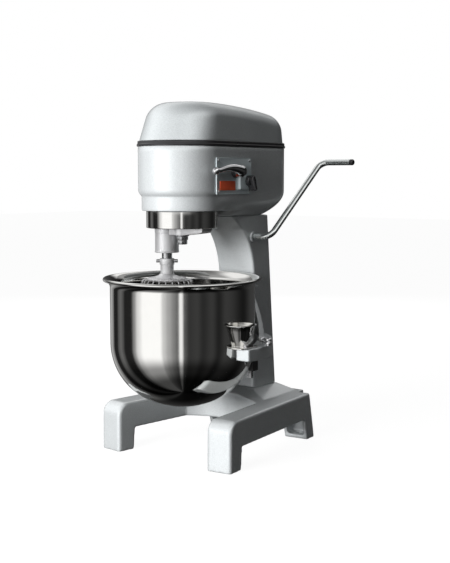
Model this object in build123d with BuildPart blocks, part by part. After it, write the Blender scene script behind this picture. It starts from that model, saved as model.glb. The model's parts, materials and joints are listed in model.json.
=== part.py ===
from build123d import *
import os
from math import asin, atan2, cos, degrees, pi, radians, sin, sqrt, tan

# A planetary stand mixer of about 20 litres. Millimetres, +Z up, the bowl towards -Y and the controls on +X.
# The origin is on the floor under the middle of the machine's bounding box. Distances called "behind" are
# measured along +Y from the bowl's own vertical axis.
os.makedirs("parts", exist_ok=True)

BOWL_AXIS_Y = -117.5
RUN_GAP = 0.05
PART_GAP = 0.4

# Base
RAIL_TOE_DEG = 6.35
RAIL_WIDTH = 60.0
RAIL_LENGTH = 391.5
RAIL_FRONT_X = 185.0
RAIL_FRONT_BEHIND = -67.8
RAIL_TOP = 109.0
RAIL_UNDERSIDE = 49.5
RAIL_WALL = 9.0
BOWL_WELL_RADIUS = 168.0
BASE_REAR_BEHIND = 322.0
PLINTH_TOP = 126.0

# Column
COLUMN_HALF_WIDTH = 52.0
COLUMN_FRONT_BEHIND = 194.0
COLUMN_REAR_FOOT_BEHIND = 285.0
COLUMN_REAR_TOP_BEHIND = 251.0
NECK_RADIUS = 168.0
NECK_START_Z = 385.0
COLUMN_WALL = 9.0

# Head
HEAD_BOTTOM = 545.0
NECK_TOP = 530.0
HEAD_STEP_Z = 578.0
HEAD_TOP = 683.0
HEAD_RADIUS = 96.0
LOWER_HEAD_RADIUS = 88.5
HEAD_REAR_BEHIND = 285.5
HEAD_CORNER = 50.0
HEAD_WALL = 8.0
WEB_BOTTOM = 588.0
WEB_TOP = 598.0
GASKET_TOP = 695.0
COVER_TOP = 780.0
COVER_RADIUS = 93.0
COVER_WALL = 4.0

# Drive
RING_TEETH = 64
PLANET_TEETH = 19
PLANET_MODULE = 2.0
AGITATOR_OFFSET = PLANET_MODULE * (RING_TEETH - PLANET_TEETH) / 2
MAIN_TEETH = 60
PINION_TEETH = 20
MAIN_MODULE = 2.5
COUNTER_BEHIND = MAIN_MODULE * (MAIN_TEETH + PINION_TEETH) / 2
MOTOR_BEHIND = 200.0
MOTOR_PULLEY_RADIUS = 27.0
DRIVEN_PULLEY_RADIUS = 54.0
MAIN_SHAFT_RADIUS = 15.0
AGITATOR_SHAFT_RADIUS = 11.6
COUNTER_SHAFT_RADIUS = 9.0
DRIVE_PLATE_Z = 672.0
PLATE_POSTS = ((78, 40), (-78, 40), (70, 256), (-70, 256))
BELT_Z = 702.0

# Bowl and yoke
BOWL_RADIUS = 159.5
BOWL_WALL = 2.0
BOWL_BOTTOM = 112.5
BOWL_RIM_Z = 395.0
BOWL_RIM_RADIUS = 171.0
BOWL_BEAD = 4.0
BOWL_CROWN_RADIUS = 190.0
BOWL_CORNER_RADIUS = 140.0
YOKE_OUTER = 198.0
YOKE_INNER = 164.5
YOKE_WALL_OUTER = 181.0
YOKE_WALL_INNER = 168.0
YOKE_FRONT_BEHIND = -23.0
YOKE_REAR_BEHIND = 184.7
YOKE_SEAT_Z = 258.0
CARRIAGE_HALF_WIDTH = 66.0
PIN_X = 180.0
PIN_BEHIND = -8.0
PIN_RADIUS = 6.0
CLAMP_X = 170.0
CLAMP_BEHIND = 61.0

# Lift lever and gear lever
LIFT_BEHIND = 190.6
LIFT_Z = 481.0
LIFT_ROD_RADIUS = 6.0
LIFT_ARM_X = 100.0
GRIP_BEHIND = 403.0
GRIP_Z = 652.0
CRANK_RADIUS = 35.0
CRANK_REST_DEG = 35.0
GEAR_LEVER_BEHIND = 60.0
GEAR_LEVER_Z = 630.0
SHIFT_CRANK = 9.0
PLATE_X = 96.0
PLATE_THICKNESS = 3.0


def at(x, behind, z):
    """A point given by its distance behind the bowl axis."""
    return Vector(x, BOWL_AXIS_Y + behind, z)


def level(z, x=0.0, behind=0.0):
    """A horizontal plane at height z, centred on the bowl axis or beside it."""
    return Plane(origin=at(x, behind, z))


def side(x=0.0):
    """A vertical plane facing +X: local x is the distance behind the bowl axis, local y the height."""
    return Plane(origin=at(x, 0, 0), x_dir=(0, 1, 0), z_dir=(1, 0, 0))


def front(behind=0.0):
    """A vertical plane facing -Y, whose local x is row X and local y the height."""
    return Plane(origin=at(0, behind, 0), x_dir=(1, 0, 0), z_dir=(0, -1, 0))


def save(part, name):
    part.label = name
    export_step(part, f"parts/{name}.step")


def cylinder_between(plane, radius, height, bore=0.0):
    """A plain turned ring or rod standing on a plane."""
    with BuildPart() as turned:
        with BuildSketch(plane):
            Circle(radius)
            if bore:
                Circle(bore, mode=Mode.SUBTRACT)
        extrude(amount=height)
    return turned.part


def gear_points(teeth, module, outside, inside, thickness, turn_deg=0.0):
    """Corners of straight-flanked teeth: outside and inside are radii, thickness a share of the pitch."""
    pitch_radius = teeth * module / 2
    lean = tan(radians(20))
    points = []
    for tooth in range(teeth):
        middle = radians(turn_deg) + tooth * 2 * pi / teeth
        for radius, sign in ((inside, -1), (outside, -1), (outside, 1), (inside, 1)):
            half = (thickness * pi * module / 2 - (radius - pitch_radius) * lean) / radius
            angle = middle + sign * half
            points.append((radius * cos(angle), radius * sin(angle)))
    return points


def spur_gear(plane, teeth, module, height, bore, turn_deg=0.0):
    pitch_radius = teeth * module / 2
    with BuildPart() as gear:
        with BuildSketch(plane):
            outside = pitch_radius + 0.85 * module
            inside = pitch_radius - 1.25 * module
            Polygon(*gear_points(teeth, module, outside, inside, 0.43, turn_deg), align=None)
            Circle(bore, mode=Mode.SUBTRACT)
        extrude(amount=height)
    return gear.part


def head_outline(radius, rear, corner):
    """Half-round front, straight sides and two rounded rear corners."""
    with BuildSketch() as outline:
        with BuildLine():
            CenterArc((0, 0), radius, 180, 180)
            Line((radius, 0), (radius, rear - corner))
            CenterArc((radius - corner, rear - corner), corner, 0, 90)
            Line((radius - corner, rear), (corner - radius, rear))
            CenterArc((corner - radius, rear - corner), corner, 90, 90)
            Line((-radius, rear - corner), (-radius, 0))
        make_face()
    return outline.sketch


# ---------------------------------------------------------------- base casting
rail_profile = [
    (0, 0), (1, RAIL_TOP), (366, RAIL_TOP), (RAIL_LENGTH, 0),
    (351, 0), (338, RAIL_UNDERSIDE), (48.5, RAIL_UNDERSIDE), (44.5, 0),
]
rail_rounding = {1: 27.0, 2: 26.0, 5: 22.0, 6: 20.0}
rail_hollow = [(9, -1), (9, 84), (24, 100), (340, 100), (360, 84), (380, -1)]


def rail_plane(inset):
    """The right rail's vertical plane, inset from its outer face; local x runs back along the rail."""
    toe = radians(RAIL_TOE_DEG)
    corner = at(RAIL_FRONT_X, RAIL_FRONT_BEHIND, 0)
    outward = Vector(cos(toe), sin(toe), 0)
    return Plane(origin=corner - outward * inset, x_dir=(-sin(toe), cos(toe), 0), z_dir=outward)


def make_rail():
    with BuildPart() as rail:
        with BuildSketch(rail_plane(0)):
            Polygon(*rail_profile, align=None)
            corners = vertices()
            for index, radius in rail_rounding.items():
                target = Vector(*rail_profile[index])
                fillet([v for v in corners if (Vector(v) - target).length < 0.1], radius)
        extrude(amount=-RAIL_WIDTH)
        flanks = rail.faces().filter_by(Plane(origin=(0, 0, 0), z_dir=rail_plane(0).z_dir))
        rounded = []
        for edge in flanks.edges():
            along = rail_plane(0).to_local_coords(edge.center()).X
            if edge.center().Z > RAIL_UNDERSIDE + 1 or (edge.center().Z > 1 and (along < 2 or along > 370)):
                rounded.append(edge)
        fillet(rounded, 7)
        with BuildSketch(rail_plane(RAIL_WALL)):
            Polygon(*rail_hollow, align=None)
        extrude(amount=-(RAIL_WIDTH - 2 * RAIL_WALL), mode=Mode.SUBTRACT)
        with BuildSketch(rail_plane(RAIL_WALL - 1)):
            Polygon((8, 0), (44.6, 0), (45.4, 10), (8, 10), align=None)
            Polygon((350.8, 0), (385, 0), (385, 10), (348.4, 10), align=None)
        extrude(amount=-(RAIL_WIDTH - 2 * RAIL_WALL + 2))
    return rail.part


FRONT_BOLT_ALONG = 27.0
REAR_BOLT_ALONG = 368.0
BOLT_HOLE_RADIUS = 5.5


def foot_point(along):
    return rail_plane(RAIL_WIDTH / 2).from_local_coords(Vector(along, 0, 0))


right_rail = make_rail()
left_rail = right_rail.mirror(Plane.YZ)
well = cylinder_between(level(40), BOWL_WELL_RADIUS, 100)

with BuildPart() as plinth:
    with BuildSketch(level(102)):
        plinth_rear = BASE_REAR_BEHIND - 3
        Polygon((-128, 150), (128, 150), (112, plinth_rear), (-112, plinth_rear), align=None)
    with BuildSketch(level(PLINTH_TOP)):
        Polygon((-52, 190), (52, 190), (52, COLUMN_REAR_FOOT_BEHIND + 2), (-52, COLUMN_REAR_FOOT_BEHIND + 2),
                align=None)
    loft(ruled=True)

with BuildPart() as base:
    with BuildSketch(level(RAIL_UNDERSIDE)):
        Polygon((-140, 95), (140, 95), (108, BASE_REAR_BEHIND), (-108, BASE_REAR_BEHIND), align=None)
    extrude(amount=RAIL_TOP - RAIL_UNDERSIDE)
    add(plinth.part)
    add(well, mode=Mode.SUBTRACT)
    with BuildSketch(level(RAIL_UNDERSIDE - 10)):
        Polygon((-92, 120), (92, 120), (84, BASE_REAR_BEHIND - 10), (-84, BASE_REAR_BEHIND - 10), align=None)
        Circle(BOWL_WELL_RADIUS + 10, mode=Mode.SUBTRACT)
    extrude(amount=60, mode=Mode.SUBTRACT)
    add(right_rail)
    add(left_rail)
    with BuildSketch(level(90, 0, 238)):
        with GridLocations(64, 60, 2, 2):
            Circle(6.5)
        Rectangle(30, 30)
    extrude(amount=60, mode=Mode.SUBTRACT)
    feet = [foot_point(along) for along in (FRONT_BOLT_ALONG, REAR_BOLT_ALONG)]
    spots = [Location((sign * p.X, p.Y, 5)) for p in feet for sign in (-1, 1)]
    with Locations(*spots):
        Cylinder(BOLT_HOLE_RADIUS, 30, mode=Mode.SUBTRACT)
save(base.part, "base_casting")

# ---------------------------------------------------------------- column
neck_centre = (COLUMN_FRONT_BEHIND - NECK_RADIUS, NECK_START_Z)
neck_top_behind = neck_centre[0] + sqrt(NECK_RADIUS**2 - (NECK_TOP - NECK_START_Z) ** 2)
rear_lean = (COLUMN_REAR_FOOT_BEHIND - COLUMN_REAR_TOP_BEHIND) / (NECK_TOP - PLINTH_TOP)
rear_plane = Plane(
    origin=at(0, COLUMN_REAR_FOOT_BEHIND - rear_lean * (320 - PLINTH_TOP), 320),
    x_dir=(-1, 0, 0), z_dir=(0, 1, rear_lean),
)


with BuildSketch() as column_side:
    with BuildLine():
        Line((COLUMN_REAR_FOOT_BEHIND, PLINTH_TOP), (COLUMN_FRONT_BEHIND, PLINTH_TOP))
        Line((COLUMN_FRONT_BEHIND, PLINTH_TOP), (COLUMN_FRONT_BEHIND, NECK_START_Z))
        CenterArc(neck_centre, NECK_RADIUS, 0, degrees(asin((NECK_TOP - NECK_START_Z) / NECK_RADIUS)))
        Line((neck_top_behind, NECK_TOP), (COLUMN_REAR_TOP_BEHIND, NECK_TOP))
        Line((COLUMN_REAR_TOP_BEHIND, NECK_TOP), (COLUMN_REAR_FOOT_BEHIND, PLINTH_TOP))
    make_face()


with BuildPart() as column:
    with BuildSketch(side(-COLUMN_HALF_WIDTH)):
        add(column_side.sketch)
    extrude(amount=2 * COLUMN_HALF_WIDTH)
    side_faces = column.faces().filter_by(Axis.X)
    upright = [e for f in side_faces for e in f.edges() if e.bounding_box().size.Z > 50]
    fillet(upright, 5)
    with BuildSketch(side(COLUMN_WALL - COLUMN_HALF_WIDTH)):
        offset(column_side.sketch, amount=-COLUMN_WALL)
    extrude(amount=2 * (COLUMN_HALF_WIDTH - COLUMN_WALL), mode=Mode.SUBTRACT)
    with BuildSketch(level(NECK_TOP - 20, 0, 190)):
        Rectangle(50, 70)
    extrude(amount=30, mode=Mode.SUBTRACT)
    with BuildSketch(level(PLINTH_TOP - 5, 0, 238)):
        Rectangle(30, 30)
        with GridLocations(64, 60, 2, 2):
            Circle(4.2)
    extrude(amount=30, mode=Mode.SUBTRACT)
    with BuildSketch(front(COLUMN_FRONT_BEHIND - 10)):
        with Locations((0, 295)):
            Rectangle(34, 170)
    extrude(amount=-30, mode=Mode.SUBTRACT)
    with BuildSketch(rear_plane.offset(20)):
        Rectangle(64, 280)
    extrude(amount=-40, mode=Mode.SUBTRACT)
    with BuildSketch(rear_plane.offset(5)):
        with GridLocations(76, 296, 2, 2):
            Circle(2.0)
    extrude(amount=-30, mode=Mode.SUBTRACT)
    with BuildSketch(side(20)):
        with Locations((LIFT_BEHIND, LIFT_Z)):
            Circle(9.5)
    extrude(amount=60, mode=Mode.SUBTRACT)
save(column.part, "column_casting")

with BuildPart() as column_bolts:
    for x in (-32, 32):
        for behind in (208, 268):
            with BuildSketch(level(88, x, behind)):
                RegularPolygon(9, 6)
            extrude(amount=8)
            with BuildSketch(level(96, x, behind)):
                Circle(4)
            extrude(amount=44)
save(column_bolts.part, "column_bolts")

with BuildPart() as back_cover:
    with BuildSketch(rear_plane.offset(0.1)):
        RectangleRounded(88, 308, 8)
        with GridLocations(76, 296, 2, 2):
            Circle(2.5, mode=Mode.SUBTRACT)
    extrude(amount=3)
    fillet(back_cover.faces().sort_by(Axis.Y)[-1].edges().filter_by(GeomType.LINE), 1)
save(back_cover.part, "column_back_cover")

with BuildPart() as back_screws:
    for x in (-38, 38):
        for up in (-148, 148):
            centre = rear_plane.from_local_coords(Vector(x, up, 0))
            spot = Plane(origin=centre, x_dir=(1, 0, 0), z_dir=rear_plane.z_dir)
            with BuildSketch(spot.offset(-6)):
                Circle(1.9)
            extrude(amount=9.1)
            with BuildSketch(spot.offset(3.1)):
                Circle(4.5)
            extrude(amount=2.2)
            with BuildSketch(spot.offset(4.1)):
                RegularPolygon(2.2, 6)
            extrude(amount=3, mode=Mode.SUBTRACT)
save(back_screws.part, "column_cover_screws")

with BuildPart() as ways:
    for x in (-44, 44):
        with BuildSketch(level(150, x, COLUMN_FRONT_BEHIND - 4.5)):
            Rectangle(15, 9)
        extrude(amount=NECK_START_Z - 152)
save(ways.part, "slide_ways")

# ---------------------------------------------------------------- head
# Height above the floor and how far the outline has drawn in, for the rounded underside of the head.
underside = [(HEAD_STEP_Z, 2.0), (570, 4.5), (562, 8.0), (553, 13.5), (HEAD_BOTTOM, 20.0)]
keel = [(HEAD_BOTTOM, 20.0), (541, 25.0), (536, 32.0), (NECK_TOP, 43.0)]
KEEL_FRONT_BEHIND = 97.0

with BuildPart() as head_lower:
    for z, inset in underside:
        with BuildSketch(level(z)):
            half = HEAD_RADIUS - inset
            rear = HEAD_REAR_BEHIND - inset
            corner = HEAD_CORNER - 0.4 * inset
            with BuildLine():
                CenterArc((0, 0), LOWER_HEAD_RADIUS, 180, 180)
                Line((LOWER_HEAD_RADIUS, 0), (half, 60))
                Line((half, 60), (half, rear - corner))
                CenterArc((half - corner, rear - corner), corner, 0, 90)
                Line((half - corner, rear), (corner - half, rear))
                CenterArc((corner - half, rear - corner), corner, 90, 90)
                Line((-half, rear - corner), (-half, 60))
                Line((-half, 60), (-LOWER_HEAD_RADIUS, 0))
            make_face()
    loft(ruled=True)

with BuildPart() as head_keel:
    for z, inset in keel:
        with BuildSketch(level(z)):
            half = HEAD_RADIUS - inset
            rear = HEAD_REAR_BEHIND - inset
            with Locations((0, (KEEL_FRONT_BEHIND + rear) / 2)):
                RectangleRounded(2 * half, rear - KEEL_FRONT_BEHIND, HEAD_CORNER - 0.4 * inset)
    loft(ruled=True)

with BuildPart() as head:
    with BuildSketch(level(HEAD_STEP_Z)):
        add(head_outline(HEAD_RADIUS, HEAD_REAR_BEHIND, HEAD_CORNER))
    extrude(amount=HEAD_TOP - HEAD_STEP_Z)
    add(head_lower.part)
    add(head_keel.part)
    # planetary housing, open below
    with BuildSketch(level(HEAD_BOTTOM - 1)):
        Circle(80.5)
    extrude(amount=WEB_BOTTOM - HEAD_BOTTOM + 1, mode=Mode.SUBTRACT)
    # gearbox and motor room above the web, open above
    with BuildSketch(level(WEB_TOP)):
        add(head_outline(HEAD_RADIUS - HEAD_WALL, HEAD_REAR_BEHIND - HEAD_WALL, HEAD_CORNER - HEAD_WALL))
    extrude(amount=HEAD_TOP - WEB_TOP + 1, mode=Mode.SUBTRACT)
    with BuildSketch(level(562, 0, MOTOR_BEHIND)):
        Circle(61)
    extrude(amount=60, mode=Mode.SUBTRACT)
    with BuildSketch(level(NECK_TOP - 1, 0, 190)):
        Rectangle(50, 70)
    extrude(amount=40, mode=Mode.SUBTRACT)
    # bearing seats through the web
    with BuildSketch(level(WEB_BOTTOM - 1)):
        Circle(27)
        with Locations((0, COUNTER_BEHIND)):
            Circle(17)
    extrude(amount=WEB_TOP - WEB_BOTTOM + 2, mode=Mode.SUBTRACT)
    # ledge posts that carry the drive plate
    with BuildSketch(level(WEB_TOP)):
        with Locations(*PLATE_POSTS):
            Circle(8)
    extrude(amount=DRIVE_PLATE_Z - WEB_TOP)
    with BuildSketch(side(HEAD_RADIUS - 20)):
        with Locations((GEAR_LEVER_BEHIND, GEAR_LEVER_Z)):
            Circle(8)
        with Locations((95, 603)):
            Rectangle(30, 20)
    extrude(amount=40, mode=Mode.SUBTRACT)
    with BuildSketch(front(HEAD_REAR_BEHIND - 20)):
        with Locations((-50, 640)):
            Circle(7)
    extrude(amount=-40, mode=Mode.SUBTRACT)
save(head.part, "head_casting")

with BuildPart() as gasket:
    with BuildSketch(level(HEAD_TOP)):
        add(head_outline(HEAD_RADIUS + 2.5, HEAD_REAR_BEHIND + 2.5, HEAD_CORNER + 2.5))
        add(head_outline(HEAD_RADIUS - 9, HEAD_REAR_BEHIND - 9, HEAD_CORNER - 9), mode=Mode.SUBTRACT)
    extrude(amount=GASKET_TOP - HEAD_TOP)
save(gasket.part, "cover_gasket")


def cover_block(inset):
    """The cover's outer form drawn in by inset: leaning walls, a falling top, one rounded rim."""
    rounding = 34.0 - inset
    with BuildPart() as block:
        with BuildSketch(level(GASKET_TOP)):
            add(head_outline(COVER_RADIUS - inset, HEAD_REAR_BEHIND - 2 - inset, HEAD_CORNER - inset))
        with BuildSketch(level(COVER_TOP + 20)):
            with Locations((0, 32)):
                add(head_outline(84 - inset, 244 - inset, 46 - inset))
        loft(ruled=True)
        with BuildSketch(side(-120)):
            with BuildLine():
                top = Spline(
                    (-120, COVER_TOP - 5 - inset), (-10, COVER_TOP - inset), (70, COVER_TOP - 4 - inset),
                    (170, COVER_TOP - 15 - inset), (320, COVER_TOP - 35 - inset),
                )
                Line(top @ 1, (320, 820))
                Line((320, 820), (-120, 820))
                Line((-120, 820), top @ 0)
            make_face()
        extrude(amount=240, mode=Mode.SUBTRACT)
        rim = [e for e in block.edges() if e.center().Z > 715 and e.bounding_box().min.Z > GASKET_TOP + 5]
        fillet(rim, rounding)
    return block.part


with BuildPart() as cover:
    add(cover_block(0))
    add(cover_block(COVER_WALL), mode=Mode.SUBTRACT)
save(cover.part, "head_cover")

# ---------------------------------------------------------------- drive inside the head
with BuildPart() as drive_plate:
    with BuildSketch(level(DRIVE_PLATE_Z)):
        fit = HEAD_WALL + 1
        add(head_outline(HEAD_RADIUS - fit, HEAD_REAR_BEHIND - fit, HEAD_CORNER - fit))
        Circle(24, mode=Mode.SUBTRACT)
        with Locations((0, COUNTER_BEHIND)):
            Circle(17, mode=Mode.SUBTRACT)
        with Locations((0, MOTOR_BEHIND)):
            Circle(14, mode=Mode.SUBTRACT)
        with Locations(*PLATE_POSTS):
            Circle(3.2, mode=Mode.SUBTRACT)
        with Locations((0, 50)):
            Rectangle(50, 16, mode=Mode.SUBTRACT)
    extrude(amount=8)
save(drive_plate.part, "drive_plate")

with BuildPart() as plate_bolts:
    for x, behind in PLATE_POSTS:
        with BuildSketch(level(DRIVE_PLATE_Z, x, behind)):
            Circle(3)
        extrude(amount=8)
        with BuildSketch(level(DRIVE_PLATE_Z + 8, x, behind)):
            RegularPolygon(6, 6)
        extrude(amount=4)
save(plate_bolts.part, "drive_plate_bolts")

main_lower = cylinder_between(level(WEB_BOTTOM), 27, WEB_TOP - WEB_BOTTOM, MAIN_SHAFT_RADIUS + RUN_GAP)
main_upper = cylinder_between(level(DRIVE_PLATE_Z), 24, 8, MAIN_SHAFT_RADIUS + RUN_GAP)
counter_seat = level(WEB_BOTTOM, 0, COUNTER_BEHIND)
counter_lower = cylinder_between(counter_seat, 17, WEB_TOP - WEB_BOTTOM, COUNTER_SHAFT_RADIUS + RUN_GAP)
counter_top = level(DRIVE_PLATE_Z, 0, COUNTER_BEHIND)
counter_upper = cylinder_between(counter_top, 17, 8, COUNTER_SHAFT_RADIUS + RUN_GAP)
save(Compound(children=[main_lower.solid(), main_upper.solid()]), "main_shaft_bearings")
save(Compound(children=[counter_lower.solid(), counter_upper.solid()]), "countershaft_bearings")

with BuildPart() as ring_gear:
    with BuildSketch(level(549)):
        Circle(80.5)
        hole = gear_points(RING_TEETH, PLANET_MODULE, 64 + 2.5, 64 - 1.7, 0.57)
        Polygon(*hole, align=None, mode=Mode.SUBTRACT)
    extrude(amount=17)
save(ring_gear.part, "ring_gear")

with BuildPart() as motor:
    with BuildSketch(level(566, 0, MOTOR_BEHIND)):
        Circle(56)
    extrude(amount=DRIVE_PLATE_Z - 566)
    with BuildSketch(level(580, 0, MOTOR_BEHIND)):
        with PolarLocations(57.5, 24):
            Rectangle(4.4, 2.2)
    extrude(amount=70)
    with BuildSketch(level(565, 0, MOTOR_BEHIND)):
        Circle(8 + RUN_GAP)
    extrude(amount=110, mode=Mode.SUBTRACT)
save(motor.part, "motor_body")

with BuildPart() as motor_shaft:
    with BuildSketch(level(580, 0, MOTOR_BEHIND)):
        Circle(8)
    extrude(amount=BELT_Z + 12 - 580)
save(motor_shaft.part, "motor_shaft")


def pulley(plane, radius, bore):
    """A single V-groove pulley, its groove floor at the given radius."""
    with BuildPart() as wheel:
        with BuildSketch(plane):
            Circle(radius + 7)
        extrude(amount=12)
        with BuildSketch(plane.offset(2)):
            Circle(radius + 8)
            Circle(radius, mode=Mode.SUBTRACT)
        extrude(amount=8, mode=Mode.SUBTRACT)
        with BuildSketch(plane):
            Circle(bore)
        extrude(amount=12, mode=Mode.SUBTRACT)
    return wheel.part


save(pulley(level(BELT_Z - 6, 0, MOTOR_BEHIND), MOTOR_PULLEY_RADIUS, 8), "motor_pulley")
counter_pulley_plane = level(BELT_Z - 6, 0, COUNTER_BEHIND)
save(pulley(counter_pulley_plane, DRIVEN_PULLEY_RADIUS, COUNTER_SHAFT_RADIUS), "driven_pulley")

with BuildSketch() as belt_outer:
    with BuildLine():
        CenterArc((0, COUNTER_BEHIND), DRIVEN_PULLEY_RADIUS + 6, 0, 360)
        CenterArc((0, MOTOR_BEHIND), MOTOR_PULLEY_RADIUS + 6, 0, 360)
    make_hull()
with BuildSketch() as belt_inner:
    with BuildLine():
        CenterArc((0, COUNTER_BEHIND), DRIVEN_PULLEY_RADIUS + 0.3, 0, 360)
        CenterArc((0, MOTOR_BEHIND), MOTOR_PULLEY_RADIUS + 0.3, 0, 360)
    make_hull()
with BuildPart() as belt:
    with BuildSketch(level(BELT_Z - 3.6)):
        add(belt_outer.sketch)
        add(belt_inner.sketch, mode=Mode.SUBTRACT)
    extrude(amount=7.2)
save(belt.part, "drive_belt")

with BuildPart() as countershaft:
    with BuildSketch(level(WEB_BOTTOM, 0, COUNTER_BEHIND)):
        Circle(COUNTER_SHAFT_RADIUS)
    extrude(amount=BELT_Z + 10 - WEB_BOTTOM)
save(countershaft.part, "countershaft")
pinion_plane = level(622, 0, COUNTER_BEHIND)
save(spur_gear(pinion_plane, PINION_TEETH, MAIN_MODULE, 26, COUNTER_SHAFT_RADIUS), "countershaft_pinion")
main_gear_turn = 180 / MAIN_TEETH
save(spur_gear(level(624), MAIN_TEETH, MAIN_MODULE, 22, MAIN_SHAFT_RADIUS, main_gear_turn), "main_gear")

# ---------------------------------------------------------------- planetary and whisk
with BuildPart() as main_shaft:
    with BuildSketch(level(500)):
        Circle(MAIN_SHAFT_RADIUS)
    extrude(amount=182)
    with BuildSketch(level(471.5)):
        Circle(9)
    extrude(amount=28.5)
    chamfer(main_shaft.faces().sort_by(Axis.Z)[0].edges(), 1.5)
save(main_shaft.part, "main_shaft")

planet_x = -AGITATOR_OFFSET
CARRIER_ARM_Z = 491.0
AGITATOR_BOSS_Z = 451.0
with BuildPart() as carrier:
    with BuildSketch(level(510)):
        Circle(75)
    extrude(amount=12)
    with BuildSketch(level(CARRIER_ARM_Z)):
        Circle(20)
    extrude(amount=53)
    with BuildSketch(front()):
        Polygon((planet_x, 512), (planet_x, CARRIER_ARM_Z), (16, CARRIER_ARM_Z), (66, CARRIER_ARM_Z + 6),
                (69, CARRIER_ARM_Z + 10), (69, 512), align=None)
    extrude(amount=17, both=True)
    with BuildSketch(level(AGITATOR_BOSS_Z, planet_x)):
        Circle(27)
    extrude(amount=88)
    chamfer(carrier.faces().sort_by(Axis.Z)[0].edges(), 1.5)
    with BuildSketch(level(450, planet_x)):
        Circle(AGITATOR_SHAFT_RADIUS + 1.5)
    extrude(amount=100, mode=Mode.SUBTRACT)
    for z in (AGITATOR_BOSS_Z - 1, 526):
        with BuildSketch(level(z, planet_x)):
            Circle(21)
        extrude(amount=14, mode=Mode.SUBTRACT)
    with BuildSketch(level(500)):
        Circle(MAIN_SHAFT_RADIUS)
    extrude(amount=60, mode=Mode.SUBTRACT)
    with BuildSketch(level(CARRIER_ARM_Z - 1)):
        Circle(9.2)
    extrude(amount=12, mode=Mode.SUBTRACT)
save(carrier.part, "planetary_carrier")

with BuildPart() as drip_ring:
    with BuildSketch(level(507)):
        Circle(79)
        Circle(75, mode=Mode.SUBTRACT)
    extrude(amount=37.2)
    with BuildSketch(level(507)):
        Circle(79)
        Circle(73, mode=Mode.SUBTRACT)
    extrude(amount=3)
    fillet(drip_ring.faces().sort_by(Axis.Z)[0].outer_wire().edges(), 2)
save(drip_ring.part, "drip_ring")

save(cylinder_between(level(CARRIER_ARM_Z - 2), 15, 2, 9.2), "carrier_washer")
with BuildPart() as carrier_nut:
    with BuildSketch(level(480)):
        RegularPolygon(13.5, 6)
    extrude(amount=9)
    with BuildSketch(level(470.5)):
        RegularPolygon(11.6, 6)
    extrude(amount=9.5)
    with BuildSketch(level(470)):
        Circle(9)
    extrude(amount=20, mode=Mode.SUBTRACT)
    chamfer(carrier_nut.faces().sort_by(Axis.Z)[0].outer_wire().edges(), 1)
save(carrier_nut.part, "carrier_nut")

lower_seat = cylinder_between(level(AGITATOR_BOSS_Z, planet_x), 21, 13, AGITATOR_SHAFT_RADIUS + RUN_GAP)
upper_seat = cylinder_between(level(526, planet_x), 21, 13, AGITATOR_SHAFT_RADIUS + RUN_GAP)
save(Compound(children=[lower_seat.solid(), upper_seat.solid()]), "agitator_bearings")

PIN_Z = 432.0
pin_along = Vector(cos(radians(38)), sin(radians(38)), 0)
pin_plane = Plane(
    origin=at(planet_x, 0, PIN_Z) - pin_along * 24, x_dir=(0, 0, 1), z_dir=pin_along,
)
pin_hole = cylinder_between(pin_plane.offset(-6), 4, 60)
with BuildPart() as agitator_shaft:
    with BuildSketch(level(414, planet_x)):
        Circle(AGITATOR_SHAFT_RADIUS)
    extrude(amount=154)
    add(pin_hole, mode=Mode.SUBTRACT)
save(agitator_shaft.part, "agitator_shaft")
pinion_bore = AGITATOR_SHAFT_RADIUS
save(spur_gear(level(550, planet_x), PLANET_TEETH, PLANET_MODULE, 16, pinion_bore, 180), "agitator_pinion")

with BuildPart() as bayonet_pin:
    with BuildSketch(pin_plane):
        Circle(4)
    extrude(amount=48)
    chamfer(bayonet_pin.edges().filter_by(GeomType.CIRCLE), 0.8)
save(bayonet_pin.part, "bayonet_pin")

HUB_FOOT_Z = 404.0
with BuildPart() as whisk_hub:
    with BuildSketch(level(HUB_FOOT_Z, planet_x)):
        Circle(14.8)
    extrude(amount=33.5)
    with BuildSketch(level(423.5, planet_x)):
        Circle(16.6)
    extrude(amount=14)
    with BuildSketch(level(414, planet_x)):
        Circle(AGITATOR_SHAFT_RADIUS)
    extrude(amount=30, mode=Mode.SUBTRACT)
    add(pin_hole, mode=Mode.SUBTRACT)
    chamfer(whisk_hub.faces().sort_by(Axis.Z)[-1].outer_wire().edges(), 0.6)
save(whisk_hub.part, "whisk_hub")

WHISK_DISC_RADIUS = 44.0
WHISK_SHOULDER_RADIUS = 56.0
WHISK_DISC_Z = 388.0
WHISK_LOOPS = 6
WIRE_RADIUS = 1.5
WHISK_BALL_Z = 220.0
with BuildPart() as whisk_disc:
    with BuildSketch(Plane(origin=at(planet_x, 0, 0), x_dir=(1, 0, 0), z_dir=(0, -1, 0))):
        Polygon(
            (0, WHISK_DISC_Z), (WHISK_DISC_RADIUS - 1.5, WHISK_DISC_Z),
            (WHISK_DISC_RADIUS, WHISK_DISC_Z + 1.5),
            (WHISK_DISC_RADIUS, 393.6), (WHISK_DISC_RADIUS - 2, 394.6), (15.5, HUB_FOOT_Z), (0, HUB_FOOT_Z),
            align=None,
        )
    revolve(axis=Axis(at(planet_x, 0, 0), (0, 0, 1)))
save(whisk_disc.part, "whisk_disc")

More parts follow.
